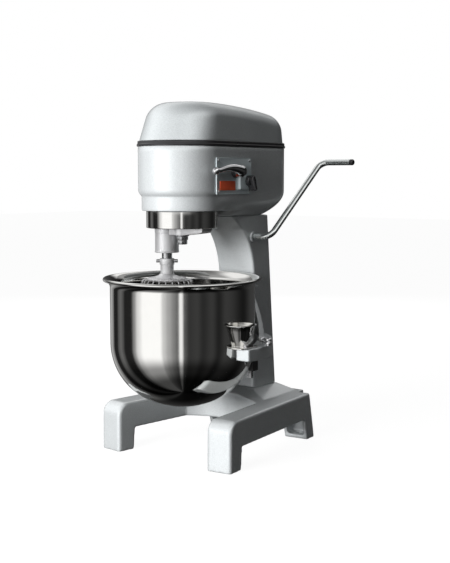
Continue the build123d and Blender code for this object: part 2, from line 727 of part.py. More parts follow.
wires = []
for loop in range(WHISK_LOOPS):
    ball = 76.0 - 3.4 * loop
    foot = WHISK_SHOULDER_RADIUS
    foot_z = WHISK_DISC_Z - 2.5
    rise = foot_z - WHISK_BALL_Z
    side_radius = ((ball - foot) ** 2 + rise**2) / (2 * (ball - foot))
    lean_deg = degrees(asin(rise / side_radius))
    bend = 6.0
    bend_x = foot - bend * cos(radians(lean_deg))
    bend_z = foot_z - bend * sin(radians(lean_deg))
    start = (WHISK_DISC_RADIUS, bend_z + bend)
    turn = radians(180 * (loop + 0.5) / WHISK_LOOPS)
    across = Vector(cos(turn), sin(turn), 0)
    plane = Plane(origin=at(planet_x, 0, 0), x_dir=across, z_dir=across.cross(Vector(0, 0, 1)))
    with BuildPart() as wire:
        with BuildLine(plane) as path:
            Line(start, (bend_x, start[1]))
            CenterArc((bend_x, bend_z), bend, 90, lean_deg - 90)
            CenterArc((ball - side_radius, WHISK_BALL_Z), side_radius, lean_deg, -lean_deg)
            CenterArc((0, WHISK_BALL_Z), ball, 0, -180)
            CenterArc((side_radius - ball, WHISK_BALL_Z), side_radius, 180, -lean_deg)
            CenterArc((-bend_x, bend_z), bend, 180 - lean_deg, lean_deg - 90)
            Line((-bend_x, start[1]), (-start[0], start[1]))
        with BuildSketch(Plane(origin=path.line @ 0, z_dir=path.line % 0)):
            Circle(WIRE_RADIUS)
        sweep(path=path.line)
    wires.append(wire.part.solid())
save(Compound(children=wires), "whisk_wires")

# ---------------------------------------------------------------- bowl
crown_deg = degrees(asin((BOWL_RADIUS - BOWL_CORNER_RADIUS) / (BOWL_CROWN_RADIUS - BOWL_CORNER_RADIUS)))
crown_centre = (0, BOWL_BOTTOM + BOWL_CROWN_RADIUS)
corner_centre = (
    BOWL_RADIUS - BOWL_CORNER_RADIUS,
    crown_centre[1] - (BOWL_CROWN_RADIUS - BOWL_CORNER_RADIUS) * cos(radians(crown_deg)),
)
LIP_START_Z = 380.0


def bowl_wall_line(inset):
    """The bowl's half section from its lowest point to the start of the lip, drawn in by inset."""
    crown = CenterArc(crown_centre, BOWL_CROWN_RADIUS - inset, -90, crown_deg)
    corner = CenterArc(corner_centre, BOWL_CORNER_RADIUS - inset, crown_deg - 90, 90 - crown_deg)
    wall = Line((BOWL_RADIUS - inset, corner_centre[1]), (BOWL_RADIUS - inset, LIP_START_Z))
    return crown, corner, wall


with BuildPart() as bowl:
    with BuildSketch(Plane(origin=at(0, 0, 0), x_dir=(1, 0, 0), z_dir=(0, -1, 0))):
        with BuildLine():
            crown_out, corner_out, wall_out = bowl_wall_line(0)
            crown_in, corner_in, wall_in = bowl_wall_line(BOWL_WALL)
            lip_out = Line(wall_out @ 1, (BOWL_RIM_RADIUS - 1.5, BOWL_RIM_Z - 2.0))
            lip_in = Line(wall_in @ 1, (BOWL_RIM_RADIUS - 3.0, BOWL_RIM_Z))
            Line(lip_out @ 1, lip_in @ 1)
            Line(crown_in @ 0, crown_out @ 0)
        make_face()
        with Locations((BOWL_RIM_RADIUS, BOWL_RIM_Z)):
            Circle(BOWL_BEAD)
    revolve(axis=Axis((0, BOWL_AXIS_Y, 0), (0, 0, 1)))
save(bowl.part, "bowl")

EAR_X = 163.0
EAR_BEHIND = -6.0
EAR_TOP_Z = 308.0
EAR_FOOT_Z = YOKE_SEAT_Z + 3.0


def make_ear():
    with BuildPart() as ear:
        with BuildSketch(level(EAR_FOOT_Z, EAR_X, EAR_BEHIND)):
            Circle(15)
        with BuildSketch(level(EAR_TOP_Z, EAR_X, EAR_BEHIND)):
            Circle(33)
        loft()
        with BuildSketch(level(EAR_TOP_Z - 2, EAR_X, EAR_BEHIND)):
            Circle(35)
        extrude(amount=2)
        with BuildSketch(level(EAR_FOOT_Z, EAR_X, EAR_BEHIND)):
            Circle(12.5)
        with BuildSketch(level(EAR_TOP_Z, EAR_X, EAR_BEHIND)):
            Circle(30.5)
        loft(mode=Mode.SUBTRACT)
        with BuildSketch(level(YOKE_SEAT_Z, EAR_X + 9, EAR_BEHIND + 3)):
            RectangleRounded(34, 60, 8)
        extrude(amount=3)
        with BuildSketch(level(YOKE_SEAT_Z - 5)):
            Circle(BOWL_RADIUS)
        extrude(amount=80, mode=Mode.SUBTRACT)
        with BuildSketch(level(YOKE_SEAT_Z - 1, PIN_X, PIN_BEHIND)):
            Circle(PIN_RADIUS + 0.3)
        extrude(amount=20, mode=Mode.SUBTRACT)
    return ear.part


right_ear = make_ear().solids().sort_by(SortBy.VOLUME)[-1]
save(Compound(children=[right_ear, right_ear.mirror(Plane.YZ)]), "bowl_ears")

# ---------------------------------------------------------------- yoke, its pins and clamps
with BuildSketch() as yoke_side:
    Polygon(
        (YOKE_FRONT_BEHIND - 1, 233), (90, 228), (YOKE_REAR_BEHIND, 228), (YOKE_REAR_BEHIND, 264), (100, 264),
        (45, YOKE_SEAT_Z), (YOKE_FRONT_BEHIND - 1, YOKE_SEAT_Z), align=None,
    )

with BuildPart() as yoke:
    with BuildSketch(level(220)):
        Circle(YOKE_OUTER)
        with Locations((0, -100)):
            Rectangle(500, 200, mode=Mode.SUBTRACT)
        with Locations((0, YOKE_FRONT_BEHIND / 2)):
            Rectangle(2 * YOKE_OUTER, -YOKE_FRONT_BEHIND)
        Circle(YOKE_INNER, mode=Mode.SUBTRACT)
        with Locations((0, YOKE_FRONT_BEHIND / 2)):
            Rectangle(2 * YOKE_INNER, 2 - YOKE_FRONT_BEHIND, mode=Mode.SUBTRACT)
    extrude(amount=60)
    with BuildSketch(side(-220)):
        add(yoke_side.sketch)
    extrude(amount=440, mode=Mode.INTERSECT)
    fillet(yoke.edges().filter_by(Axis.Z).filter_by(lambda e: e.center().Y < BOWL_AXIS_Y), 3)

with BuildPart() as yoke_wall:
    with BuildSketch(front(260)):
        Polygon((-147, 262), (147, 262), (54, 378), (-54, 378), align=None)
    extrude(amount=200)
    with BuildSketch(level(250)):
        Circle(YOKE_WALL_OUTER)
        Circle(YOKE_WALL_INNER, mode=Mode.SUBTRACT)
    extrude(amount=150, mode=Mode.INTERSECT)

with BuildPart() as yoke_casting:
    add(yoke.part)
    add(yoke_wall.part)
    # carriage plate and its cheeks beside the ways
    with BuildSketch(level(228)):
        with Locations((0, 177)):
            Rectangle(2 * CARRIAGE_HALF_WIDTH, 2 * (YOKE_REAR_BEHIND - 177))
        Circle(YOKE_WALL_INNER, mode=Mode.SUBTRACT)
    extrude(amount=140)
    for sign in (-1, 1):
        with BuildSketch(level(228, sign * 59.3, 187)):
            Rectangle(13.4, 13)
        extrude(amount=140)
    # bracket that reaches through the slot to the lift rod
    with BuildSketch(level(296, 0, 200)):
        Rectangle(26, 34)
    extrude(amount=30)
    with BuildSketch(level(290, 0, 209)):
        Circle(4.2)
    extrude(amount=60, mode=Mode.SUBTRACT)
    for sign in (-1, 1):
        with BuildSketch(level(220, sign * PIN_X, PIN_BEHIND)):
            Circle(PIN_RADIUS)
        extrude(amount=60, mode=Mode.SUBTRACT)
        with BuildSketch(level(220, sign * CLAMP_X, CLAMP_BEHIND)):
            Circle(4)
        extrude(amount=60, mode=Mode.SUBTRACT)
save(yoke_casting.part, "bowl_yoke")

with BuildPart() as pins:
    for sign in (-1, 1):
        with BuildSketch(level(232, sign * PIN_X, PIN_BEHIND)):
            Circle(PIN_RADIUS)
        extrude(amount=36)
        with BuildSketch(level(224, sign * PIN_X, PIN_BEHIND)):
            Circle(1.5)
        with BuildSketch(level(232, sign * PIN_X, PIN_BEHIND)):
            Circle(PIN_RADIUS)
        loft()
    chamfer(pins.faces().filter_by(Axis.Z).group_by(Axis.Z)[-1].edges(), 1.5)
save(pins.part, "locating_pins")

GUIDE_BOTTOM = 170.0
with BuildPart() as guides:
    for sign in (-1, 1):
        with BuildSketch(level(GUIDE_BOTTOM, sign * 59.3, 183)):
            Rectangle(13.4, 21)
        extrude(amount=228 - GUIDE_BOTTOM)
save(guides.part, "guide_blocks")

CLAMP_Z = 265.0
CLAMP_THICKNESS = 4.5
CLAMP_LENGTH = 47.0
CLAMP_OPEN_DEG = 35.0


def make_clamp():
    """The right-hand clamp, swung clear of the ear plate: an eye, an arm, a pressing foot and a knob."""
    closed = atan2(-44.4, 15.5)
    swing = closed + radians(CLAMP_OPEN_DEG)
    tip = Vector(CLAMP_X + CLAMP_LENGTH * cos(swing), CLAMP_BEHIND + CLAMP_LENGTH * sin(swing))
    middle = Vector((CLAMP_X + tip.X) / 2, (CLAMP_BEHIND + tip.Y) / 2)
    with BuildPart() as clamp:
        with BuildSketch(level(CLAMP_Z)):
            with Locations(Location((middle.X, middle.Y, 0), (0, 0, degrees(swing)))):
                SlotOverall(CLAMP_LENGTH + 16, 14)
            with Locations((CLAMP_X, CLAMP_BEHIND)):
                Circle(9)
        extrude(amount=CLAMP_THICKNESS)
        with BuildSketch(level(EAR_FOOT_Z + PART_GAP, tip.X, tip.Y)):
            Circle(5)
        extrude(amount=14)
        with BuildSketch(level(CLAMP_Z + CLAMP_THICKNESS, tip.X, tip.Y)):
            Circle(6.5)
        extrude(amount=9)
        with BuildSketch(level(CLAMP_Z - 1, CLAMP_X, CLAMP_BEHIND)):
            Circle(4 + RUN_GAP)
        extrude(amount=20, mode=Mode.SUBTRACT)
    return clamp.part


right_clamp = make_clamp()
save(right_clamp, "bowl_clamp_right")
save(right_clamp.mirror(Plane.YZ), "bowl_clamp_left")

with BuildPart() as clamp_screws:
    for sign in (-1, 1):
        with BuildSketch(level(236, sign * CLAMP_X, CLAMP_BEHIND)):
            Circle(4)
        extrude(amount=CLAMP_Z + CLAMP_THICKNESS + PART_GAP - 236)
        with BuildSketch(level(CLAMP_Z + CLAMP_THICKNESS + PART_GAP, sign * CLAMP_X, CLAMP_BEHIND)):
            Circle(7.5)
        extrude(amount=4)
save(clamp_screws.part, "clamp_screws")

# ---------------------------------------------------------------- lift lever, crank and slotted rod
with BuildPart() as lift_lever:
    with BuildLine() as lever_path:
        FilletPolyline(
            at(8, LIFT_BEHIND, LIFT_Z), at(LIFT_ARM_X, LIFT_BEHIND, LIFT_Z),
            at(LIFT_ARM_X, GRIP_BEHIND, GRIP_Z), at(182, GRIP_BEHIND, GRIP_Z), radius=22,
        )
    with BuildSketch(Plane(origin=lever_path.line @ 0, z_dir=lever_path.line % 0)):
        Circle(LIFT_ROD_RADIUS)
    sweep(path=lever_path.line)
save(lift_lever.part, "lift_lever")

with BuildPart() as lever_cap:
    with BuildSketch(side(182)):
        with Locations((GRIP_BEHIND, GRIP_Z)):
            Circle(7.2)
    extrude(amount=9)
    fillet(lever_cap.faces().sort_by(Axis.X)[-1].edges(), 2.5)
save(lever_cap.part, "lever_end_cap")

with BuildPart() as lever_bush:
    with BuildSketch(side(COLUMN_HALF_WIDTH - COLUMN_WALL - 2)):
        with Locations((LIFT_BEHIND, LIFT_Z)):
            Circle(9.5)
            Circle(LIFT_ROD_RADIUS + RUN_GAP, mode=Mode.SUBTRACT)
    extrude(amount=COLUMN_WALL + 2)
    with BuildSketch(side(COLUMN_HALF_WIDTH)):
        with Locations((LIFT_BEHIND, LIFT_Z)):
            Circle(12)
            Circle(LIFT_ROD_RADIUS + RUN_GAP, mode=Mode.SUBTRACT)
    extrude(amount=3)
    fillet(lever_bush.faces().sort_by(Axis.X)[-1].outer_wire().edges(), 1.2)
save(lever_bush.part, "lever_bush")

crank_angle = radians(CRANK_REST_DEG)
crank_pin = (LIFT_BEHIND + CRANK_RADIUS * cos(crank_angle), LIFT_Z + CRANK_RADIUS * sin(crank_angle))
with BuildPart() as lift_crank:
    with BuildSketch(side(8)):
        with Locations((LIFT_BEHIND, LIFT_Z)):
            Circle(13)
        with Locations(crank_pin):
            Circle(9)
        middle = ((LIFT_BEHIND + crank_pin[0]) / 2, (LIFT_Z + crank_pin[1]) / 2)
        with Locations(Location((middle[0], middle[1], 0), (0, 0, CRANK_REST_DEG))):
            Rectangle(CRANK_RADIUS, 16)
        with Locations((LIFT_BEHIND, LIFT_Z)):
            Circle(LIFT_ROD_RADIUS, mode=Mode.SUBTRACT)
    extrude(amount=10)
    with BuildSketch(side(-6)):
        with Locations(crank_pin):
            Circle(5)
    extrude(amount=14)
save(lift_crank.part, "lift_crank")

# The crank pin works in a level slot in the rod's head, so the rod rises and falls without tilting.
with BuildPart() as lift_rod:
    slot_z = crank_pin[1]
    with BuildSketch(side(-6)):
        with Locations((219, slot_z)):
            RectangleRounded(46, 30, 5)
            SlotOverall(30, 12.6, mode=Mode.SUBTRACT)
        with Locations((212, 400)):
            Rectangle(12, 175)
        with Locations((209, 320)):
            Rectangle(16, 12)
    extrude(amount=12)
    with BuildSketch(level(326, 0, 209)):
        Rectangle(20, 16)
    extrude(amount=8)
    with BuildSketch(level(300, 0, 209)):
        Rectangle(40, 30)
    extrude(amount=26, mode=Mode.SUBTRACT)
    with BuildSketch(level(290, 0, 209)):
        Circle(4)
    extrude(amount=50)
save(lift_rod.part, "lift_rod")

# ---------------------------------------------------------------- control plate, switch and gear lever
plate_face = PLATE_X + PLATE_THICKNESS
screw_spots = [(3, 653), (113, 653), (3, 586), (113, 586)]
with BuildPart() as control_plate:
    with BuildSketch(side(PLATE_X)):
        with Locations((58, 619.5)):
            RectangleRounded(124, 79, 3)
        with Locations((GEAR_LEVER_BEHIND, GEAR_LEVER_Z)):
            Circle(8, mode=Mode.SUBTRACT)
        with Locations((95, 603)):
            Rectangle(30, 20, mode=Mode.SUBTRACT)
        with Locations(*screw_spots):
            Circle(2.2, mode=Mode.SUBTRACT)
    extrude(amount=PLATE_THICKNESS)
    chamfer(control_plate.faces().sort_by(Axis.X)[-1].outer_wire().edges(), 0.6)
save(control_plate.part, "control_plate")

with BuildPart() as plate_screws:
    for behind, z in screw_spots:
        with BuildSketch(side(PLATE_X)):
            with Locations((behind, z)):
                Circle(2)
        extrude(amount=PLATE_THICKNESS)
        with BuildSketch(side(plate_face)):
            with Locations((behind, z)):
                Circle(3.6)
        extrude(amount=1.8)
        with BuildSketch(side(plate_face + 1)):
            with Locations((behind, z)):
                Rectangle(6, 0.9)
        extrude(amount=2, mode=Mode.SUBTRACT)
save(plate_screws.part, "control_plate_screws")

with BuildPart() as label:
    with BuildSketch(side(plate_face)):
        with Locations((34.5, 599)):
            RectangleRounded(54, 20, 2)
    extrude(amount=0.6)
save(label.part, "label_plate")

with BuildPart() as switch_box:
    with BuildSketch(side(plate_face)):
        with Locations((95, 605)):
            RectangleRounded(48, 30, 3)
    extrude(amount=6)
    fillet(switch_box.faces().sort_by(Axis.X)[-1].edges(), 1.2)
    with BuildSketch(side(PLATE_X - 19.5)):
        with Locations((95, 603)):
            Rectangle(30, 20)
    extrude(amount=19.5 + PLATE_THICKNESS)
    with BuildSketch(side(PLATE_X - 10)):
        with Locations((100, 609)):
            Circle(3 + RUN_GAP)
    extrude(amount=40, mode=Mode.SUBTRACT)
save(switch_box.part, "switch_box")

knob_face = plate_face + 6 + PART_GAP
with BuildPart() as knob:
    with BuildSketch(side(knob_face)):
        with Locations((100, 609)):
            Circle(11.5)
    extrude(amount=9)
    with BuildSketch(side(knob_face)):
        with Locations(Location((101.5, 604.5, 0), (0, 0, -72))):
            SlotOverall(36, 9)
    extrude(amount=19)
    fillet(knob.faces().sort_by(Axis.X)[-1].edges(), 2)
    with BuildSketch(side(PLATE_X - 9)):
        with Locations((100, 609)):
            Circle(3)
    extrude(amount=knob_face - PLATE_X + 9)
save(knob.part, "switch_knob")

with BuildPart() as lever_boss:
    with BuildSketch(side(PLATE_X)):
        with Locations((GEAR_LEVER_BEHIND, GEAR_LEVER_Z)):
            Circle(7.9)
    extrude(amount=PLATE_THICKNESS)
    with BuildSketch(side(plate_face)):
        with Locations((GEAR_LEVER_BEHIND, GEAR_LEVER_Z)):
            Circle(14)
    extrude(amount=6.8)
    fillet(lever_boss.faces().sort_by(Axis.X)[-1].edges(), 2)
    with BuildSketch(side(PLATE_X - 1)):
        with Locations((GEAR_LEVER_BEHIND, GEAR_LEVER_Z)):
            Circle(5 + RUN_GAP)
    extrude(amount=40, mode=Mode.SUBTRACT)
save(lever_boss.part, "gear_lever_boss")

GEAR_ARM_X = 118.0
KNOB_BEHIND = -31.0
KNOB_RADIUS = 8.2
HORN = ((52, 2.5, 10.6), (38, 5.6, 9.4), (22, 7.2, 8.0), (4, 5.8, 6.4), (-12, 2.4, 5.2), (-26, 0.2, 4.7))
with BuildPart() as gear_lever:
    with BuildSketch(side(62)):
        with Locations((GEAR_LEVER_BEHIND, GEAR_LEVER_Z)):
            Circle(5)
    extrude(amount=GEAR_ARM_X - 62)
    with BuildSketch(side(106.3)):
        with Locations((GEAR_LEVER_BEHIND, GEAR_LEVER_Z)):
            Circle(13.6)
    extrude(amount=20)
    fillet(gear_lever.faces().sort_by(Axis.X)[-1].edges(), 5)
    for behind, rise, radius in HORN:
        slope = (HORN[0][1] - rise) * 0.012
        with BuildSketch(Plane(origin=at(GEAR_ARM_X, behind, GEAR_LEVER_Z + rise), z_dir=(0, -1, slope))):
            Circle(radius)
    loft()
save(gear_lever.part, "gear_lever")

with BuildPart() as lever_knob:
    with Locations(at(GEAR_ARM_X, KNOB_BEHIND, GEAR_LEVER_Z)):
        Sphere(KNOB_RADIUS)
    add(gear_lever.part, mode=Mode.SUBTRACT)
save(lever_knob.part.solids().sort_by(SortBy.VOLUME)[-1], "gear_lever_knob")

shift_pin = (GEAR_LEVER_BEHIND + SHIFT_CRANK, GEAR_LEVER_Z)
with BuildPart() as shift_crank:
    with BuildSketch(side(66)):
        with Locations((GEAR_LEVER_BEHIND + SHIFT_CRANK / 2, GEAR_LEVER_Z)):
            SlotOverall(SHIFT_CRANK + 16, 16)
        with Locations((GEAR_LEVER_BEHIND, GEAR_LEVER_Z)):
            Circle(5, mode=Mode.SUBTRACT)
    extrude(amount=7)
    with BuildSketch(side(73)):
        with Locations(shift_pin):
            Circle(3)
    extrude(amount=9)
save(shift_crank.part, "shift_crank")

FORK_Z = 657.0
COLLAR_Z = 654.0
with BuildPart() as fork:
    with BuildSketch(level(FORK_Z)):
        with Locations((38, COUNTER_BEHIND)):
            Rectangle(76, 18)
        with Locations((0, COUNTER_BEHIND)):
            Circle(26)
            Circle(15.5, mode=Mode.SUBTRACT)
            with Locations((-20, 0)):
                Rectangle(40, 60, mode=Mode.SUBTRACT)
        with Locations((60, COUNTER_BEHIND)):
            Circle(11)
            Circle(4 + RUN_GAP, mode=Mode.SUBTRACT)
    extrude(amount=5)
    with BuildSketch(side(75)):
        with Locations((88, 636.5)):
            Rectangle(46, 24)
        with Locations((100, 650)):
            Rectangle(18, 24)
        with Locations((shift_pin[0] + 2, GEAR_LEVER_Z)):
            SlotOverall(18, 6.6, mode=Mode.SUBTRACT)
    extrude(amount=6)
save(fork.part, "shift_fork")

with BuildPart() as fork_rod:
    with BuildSketch(level(WEB_TOP, 60, COUNTER_BEHIND)):
        Circle(4)
    extrude(amount=DRIVE_PLATE_Z - WEB_TOP)
save(fork_rod.part, "fork_guide_rod")

with BuildPart() as collar:
    with BuildSketch(level(COLLAR_Z, 0, COUNTER_BEHIND)):
        Circle(20)
    extrude(amount=11)
    with BuildSketch(level(FORK_Z - 0.5, 0, COUNTER_BEHIND)):
        Circle(21)
        Circle(14.5, mode=Mode.SUBTRACT)
    extrude(amount=6, mode=Mode.SUBTRACT)
    with BuildSketch(level(COLLAR_Z - 1, 0, COUNTER_BEHIND)):
        Circle(COUNTER_SHAFT_RADIUS + RUN_GAP)
    extrude(amount=20, mode=Mode.SUBTRACT)
save(collar.part, "shift_collar")

# ---------------------------------------------------------------- cable gland on the back of the head
with BuildPart() as gland:
    with BuildSketch(front(HEAD_REAR_BEHIND - HEAD_WALL - 4)):
        with Locations((-50, 640)):
            Circle(6.9)
    extrude(amount=-(HEAD_WALL + 4.5))
    with BuildSketch(front(HEAD_REAR_BEHIND)):
        with Locations((-50, 640)):
            RegularPolygon(12, 6)
    extrude(amount=-7)
    with BuildSketch(front(HEAD_REAR_BEHIND + 7)):
        with Locations((-50, 640)):
            Circle(9)
    extrude(amount=-13)
    fillet(gland.faces().sort_by(Axis.Y)[-1].edges(), 2)
    with BuildSketch(front(HEAD_REAR_BEHIND - 30)):
        with Locations((-50, 640)):
            Circle(4)
    extrude(amount=-70, mode=Mode.SUBTRACT)
save(gland.part, "cable_gland")
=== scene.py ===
import json
import math
from math import asin, atan2, cos, pi, radians, sin, sqrt

import bmesh
import bpy
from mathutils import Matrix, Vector


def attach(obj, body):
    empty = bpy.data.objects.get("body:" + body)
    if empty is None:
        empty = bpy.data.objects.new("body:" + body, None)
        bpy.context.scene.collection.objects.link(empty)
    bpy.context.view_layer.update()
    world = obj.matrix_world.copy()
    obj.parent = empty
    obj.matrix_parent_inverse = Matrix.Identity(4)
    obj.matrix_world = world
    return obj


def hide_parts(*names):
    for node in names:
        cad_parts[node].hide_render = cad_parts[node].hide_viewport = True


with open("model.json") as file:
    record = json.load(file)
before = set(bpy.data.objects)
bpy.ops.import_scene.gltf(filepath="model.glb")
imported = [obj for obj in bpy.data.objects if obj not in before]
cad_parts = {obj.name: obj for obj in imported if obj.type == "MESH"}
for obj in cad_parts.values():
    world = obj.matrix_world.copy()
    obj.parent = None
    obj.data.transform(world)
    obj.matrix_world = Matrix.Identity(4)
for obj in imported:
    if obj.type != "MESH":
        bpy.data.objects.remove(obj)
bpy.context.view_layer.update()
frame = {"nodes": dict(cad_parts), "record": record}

# Sizes are in millimetres, as in the CAD. place() turns a point into row metres: "behind" is the distance
# along +Y from the bowl's own axis.
AXIS_Y = -117.5
MM = 0.001
X_DIR, Y_DIR, Z_DIR = Vector((1, 0, 0)), Vector((0, 1, 0)), Vector((0, 0, 1))


def place(x, behind, z):
    return Vector((x, AXIS_Y + behind, z)) * MM


# ------------------------------------------------------------------------------------------ node helpers
def set_stops(ramp, stops):
    """Gives a colour ramp its (position, colour) stops; stops are in rising order."""
    elements = ramp.elements
    elements[0].position = stops[0][0]
    elements[0].color = (*stops[0][1], 1)
    elements[1].position = stops[-1][0]
    elements[1].color = (*stops[-1][1], 1)
    for at, colour in stops[1:-1]:
        elements.new(at).color = (*colour, 1)


class Shader:
    """A small builder for one material's node tree, with a Principled shader ready."""

    def __init__(self, name):
        self.material = bpy.data.materials.new(name)
        self.material.use_nodes = True
        self.tree = self.material.node_tree
        self.tree.nodes.clear()
        self.out = self.tree.nodes.new("ShaderNodeOutputMaterial")
        self.bsdf = self.tree.nodes.new("ShaderNodeBsdfPrincipled")
        self.link(self.bsdf, "BSDF", self.out, "Surface")
        self.coords = self.tree.nodes.new("ShaderNodeTexCoord")

    def node(self, kind, **props):
        made = self.tree.nodes.new(kind)
        for key, value in props.items():
            setattr(made, key, value)
        return made

    def link(self, a, a_socket, b, b_socket):
        self.tree.links.new(a.outputs[a_socket], b.inputs[b_socket])

    def fixed(self, **values):
        for key, value in values.items():
            self.bsdf.inputs[key.replace("_", " ")].default_value = value

    def stretched(self, scale):
        mapping = self.node("ShaderNodeMapping")
        mapping.inputs["Scale"].default_value = scale
        self.link(self.coords, "Object", mapping, "Vector")
        return mapping

    def noise(self, scale, detail=3.0, roughness=0.55, source=None):
        made = self.node("ShaderNodeTexNoise")
        made.inputs["Scale"].default_value = scale
        made.inputs["Detail"].default_value = detail
        made.inputs["Roughness"].default_value = roughness
        if source is None:
            self.link(self.coords, "Object", made, "Vector")
        else:
            self.link(source, "Vector", made, "Vector")
        return made

    def ramp(self, source, socket, stops):
        made = self.node("ShaderNodeValToRGB")
        self.link(source, socket, made, "Fac")
        set_stops(made.color_ramp, stops)
        return made

    def span(self, source, socket, low, high, from_low=0.0, from_high=1.0):
        made = self.node("ShaderNodeMapRange")
        made.inputs["From Min"].default_value = from_low
        made.inputs["From Max"].default_value = from_high
        made.inputs["To Min"].default_value = low
        made.inputs["To Max"].default_value = high
        self.link(source, socket, made, "Value")
        return made

    def bump(self, layers):
        """Layers of (node, socket, height in metres), chained from the coarsest to the finest."""
        last = None
        for source, socket, height in layers:
            made = self.node("ShaderNodeBump")
            made.inputs["Distance"].default_value = height
            made.inputs["Strength"].default_value = 1.0
            self.link(source, socket, made, "Height")
            if last is not None:
                self.link(last, "Normal", made, "Normal")
            last = made
        self.link(last, "Normal", self.bsdf, "Normal")


def paint(name, colour, darker, metal=0.72, rough=0.30, grain=1.0):
    """Metallic stove enamel: fine flake, a slow colour drift, faint orange peel, a clear coat."""
    s = Shader(name)
    s.fixed(Metallic=metal, IOR=1.5, Coat_Weight=0.5, Coat_Roughness=0.10, Coat_IOR=1.5)
    drift = s.noise(7.0, 3.0, 0.6)
    flake = s.noise(620.0, 2.0, 0.75)
    tone = s.ramp(drift, "Fac", [(0.30, darker), (0.70, colour)])
    sparkle = s.ramp(flake, "Fac", [(0.36, (0.80, 0.80, 0.80)), (0.60, (1.0, 1.0, 1.0))])
    mix = s.node("ShaderNodeMix", data_type="RGBA", blend_type="MULTIPLY")
    mix.inputs[0].default_value = 0.9
    s.tree.links.new(tone.outputs["Color"], mix.inputs[6])
    s.tree.links.new(sparkle.outputs["Color"], mix.inputs[7])
    s.tree.links.new(mix.outputs[2], s.bsdf.inputs["Base Color"])
    smudge = s.noise(30.0, 4.0, 0.6)
    rough_map = s.span(smudge, "Fac", rough - 0.04, rough + 0.06, 0.3, 0.7)
    s.link(rough_map, "Result", s.bsdf, "Roughness")
    peel = s.noise(150.0, 0.0, 0.5)
    s.bump([(peel, "Fac", 0.00004 * grain)])
    return s.material


def bright_metal(name, colour, rough, scratch=(1, 1, 1), depth=0.000004, variation=0.05, metal=1.0):
    """Turned, ground or polished metal: lines along one direction, smears, fine pitting."""
    s = Shader(name)
    s.fixed(Metallic=metal)
    lines = s.noise(110.0, 2.0, 0.6, s.stretched(scratch))
    smear = s.noise(24.0, 4.0, 0.6)
    low = tuple(c * (1 - 1.2 * variation) for c in colour)
    tone = s.ramp(smear, "Fac", [(0.32, low), (0.68, colour)])
    s.link(tone, "Color", s.bsdf, "Base Color")
    mix = s.node("ShaderNodeMath", operation="ADD")
    s.tree.links.new(s.span(lines, "Fac", 0.0, variation, 0.3, 0.7).outputs["Result"], mix.inputs[0])
    s.tree.links.new(s.span(smear, "Fac", rough, rough + variation, 0.3, 0.7).outputs["Result"],
                     mix.inputs[1])
    s.link(mix, "Value", s.bsdf, "Roughness")
    s.bump([(lines, "Fac", depth)])
    return s.material


def moulded(name, colour, rough=0.35, coat=0.0, pebble=900.0, depth=0.00001):
    """Moulded plastic, rubber or sheet with a fine pebbled skin and slight fading."""
    s = Shader(name)
    s.fixed(Metallic=0.0, IOR=1.48, Coat_Weight=coat, Coat_Roughness=0.12)
    cloud = s.noise(30.0, 4.0, 0.6)
    low = tuple(max(0.0, c * 0.82) for c in colour)
    high = tuple(c * 1.12 + 0.002 for c in colour)
    tone = s.ramp(cloud, "Fac", [(0.3, low), (0.7, high)])
    s.link(tone, "Color", s.bsdf, "Base Color")
    skin = s.noise(pebble, 3.0, 0.6)
    s.link(s.span(cloud, "Fac", rough - 0.05, rough + 0.08, 0.3, 0.7), "Result", s.bsdf, "Roughness")
    s.bump([(skin, "Fac", depth)])
    return s.material


SILVER = paint("silver_enamel", (0.60, 0.625, 0.635), (0.56, 0.585, 0.595), metal=0.5, rough=0.42)
SILVER_COVER = paint("silver_enamel_cover", (0.59, 0.62, 0.63), (0.55, 0.58, 0.59), metal=0.55, rough=0.40,
                     grain=0.5)
PLATE = paint("plate_enamel", (0.62, 0.69, 0.71), (0.58, 0.65, 0.67), metal=0.5, rough=0.50, grain=0.3)
GASKET = moulded("gasket_rubber_black", (0.012, 0.012, 0.013), rough=0.30, coat=0.15, pebble=500.0)
MIRROR = bright_metal("mirror_stainless", (0.74, 0.735, 0.715), 0.05, (1, 1, 0.05), 0.000002, 0.03)
CHROME = bright_metal("bright_chrome", (0.84, 0.84, 0.85), 0.09, (1, 1, 1), 0.0, 0.03)
BAR_CHROME = bright_metal("bar_chrome", (0.80, 0.83, 0.82), 0.20, (1, 1, 1), 0.0, 0.04)
STEEL = bright_metal("ground_steel", (0.60, 0.60, 0.61), 0.20, (1, 1, 14), 0.000003, 0.06)
WIRE = bright_metal("drawn_wire", (0.66, 0.66, 0.67), 0.14, (1, 1, 6), 0.000002, 0.05)
ZINC = bright_metal("zinc_screws", (0.66, 0.67, 0.68), 0.22, (4, 4, 4), 0.000003, 0.06)
GEAR = bright_metal("gear_steel_cut", (0.36, 0.36, 0.37), 0.30, (1, 1, 20), 0.000006, 0.08)
RACE = bright_metal("bearing_races", (0.58, 0.58, 0.60), 0.16, (1, 1, 10), 0.000002, 0.05)
CAST = bright_metal("cast_alloy_dull", (0.76, 0.76, 0.77), 0.36, (2, 2, 2), 0.00001, 0.08, metal=0.84)
MOTOR = bright_metal("motor_housing_alloy", (0.50, 0.51, 0.52), 0.42, (2, 2, 2), 0.00003, 0.10)
PULLEY = bright_metal("pulley_alloy_turned", (0.58, 0.58, 0.60), 0.24, (1, 1, 12), 0.000006, 0.08)
BRONZE = bright_metal("sintered_bronze", (0.56, 0.36, 0.16), 0.38, (3, 3, 3), 0.00001, 0.08)
BELT = moulded("belt_rubber_black", (0.02, 0.02, 0.02), rough=0.62, pebble=1200.0, depth=0.00003)
GUIDE = moulded("guide_nylon_black", (0.02, 0.02, 0.021), rough=0.40)
BLACK = moulded("phenolic_black", (0.014, 0.014, 0.015), rough=0.26, coat=0.2)
KNOB = moulded("knob_black", (0.012, 0.012, 0.013), rough=0.22, coat=0.3)
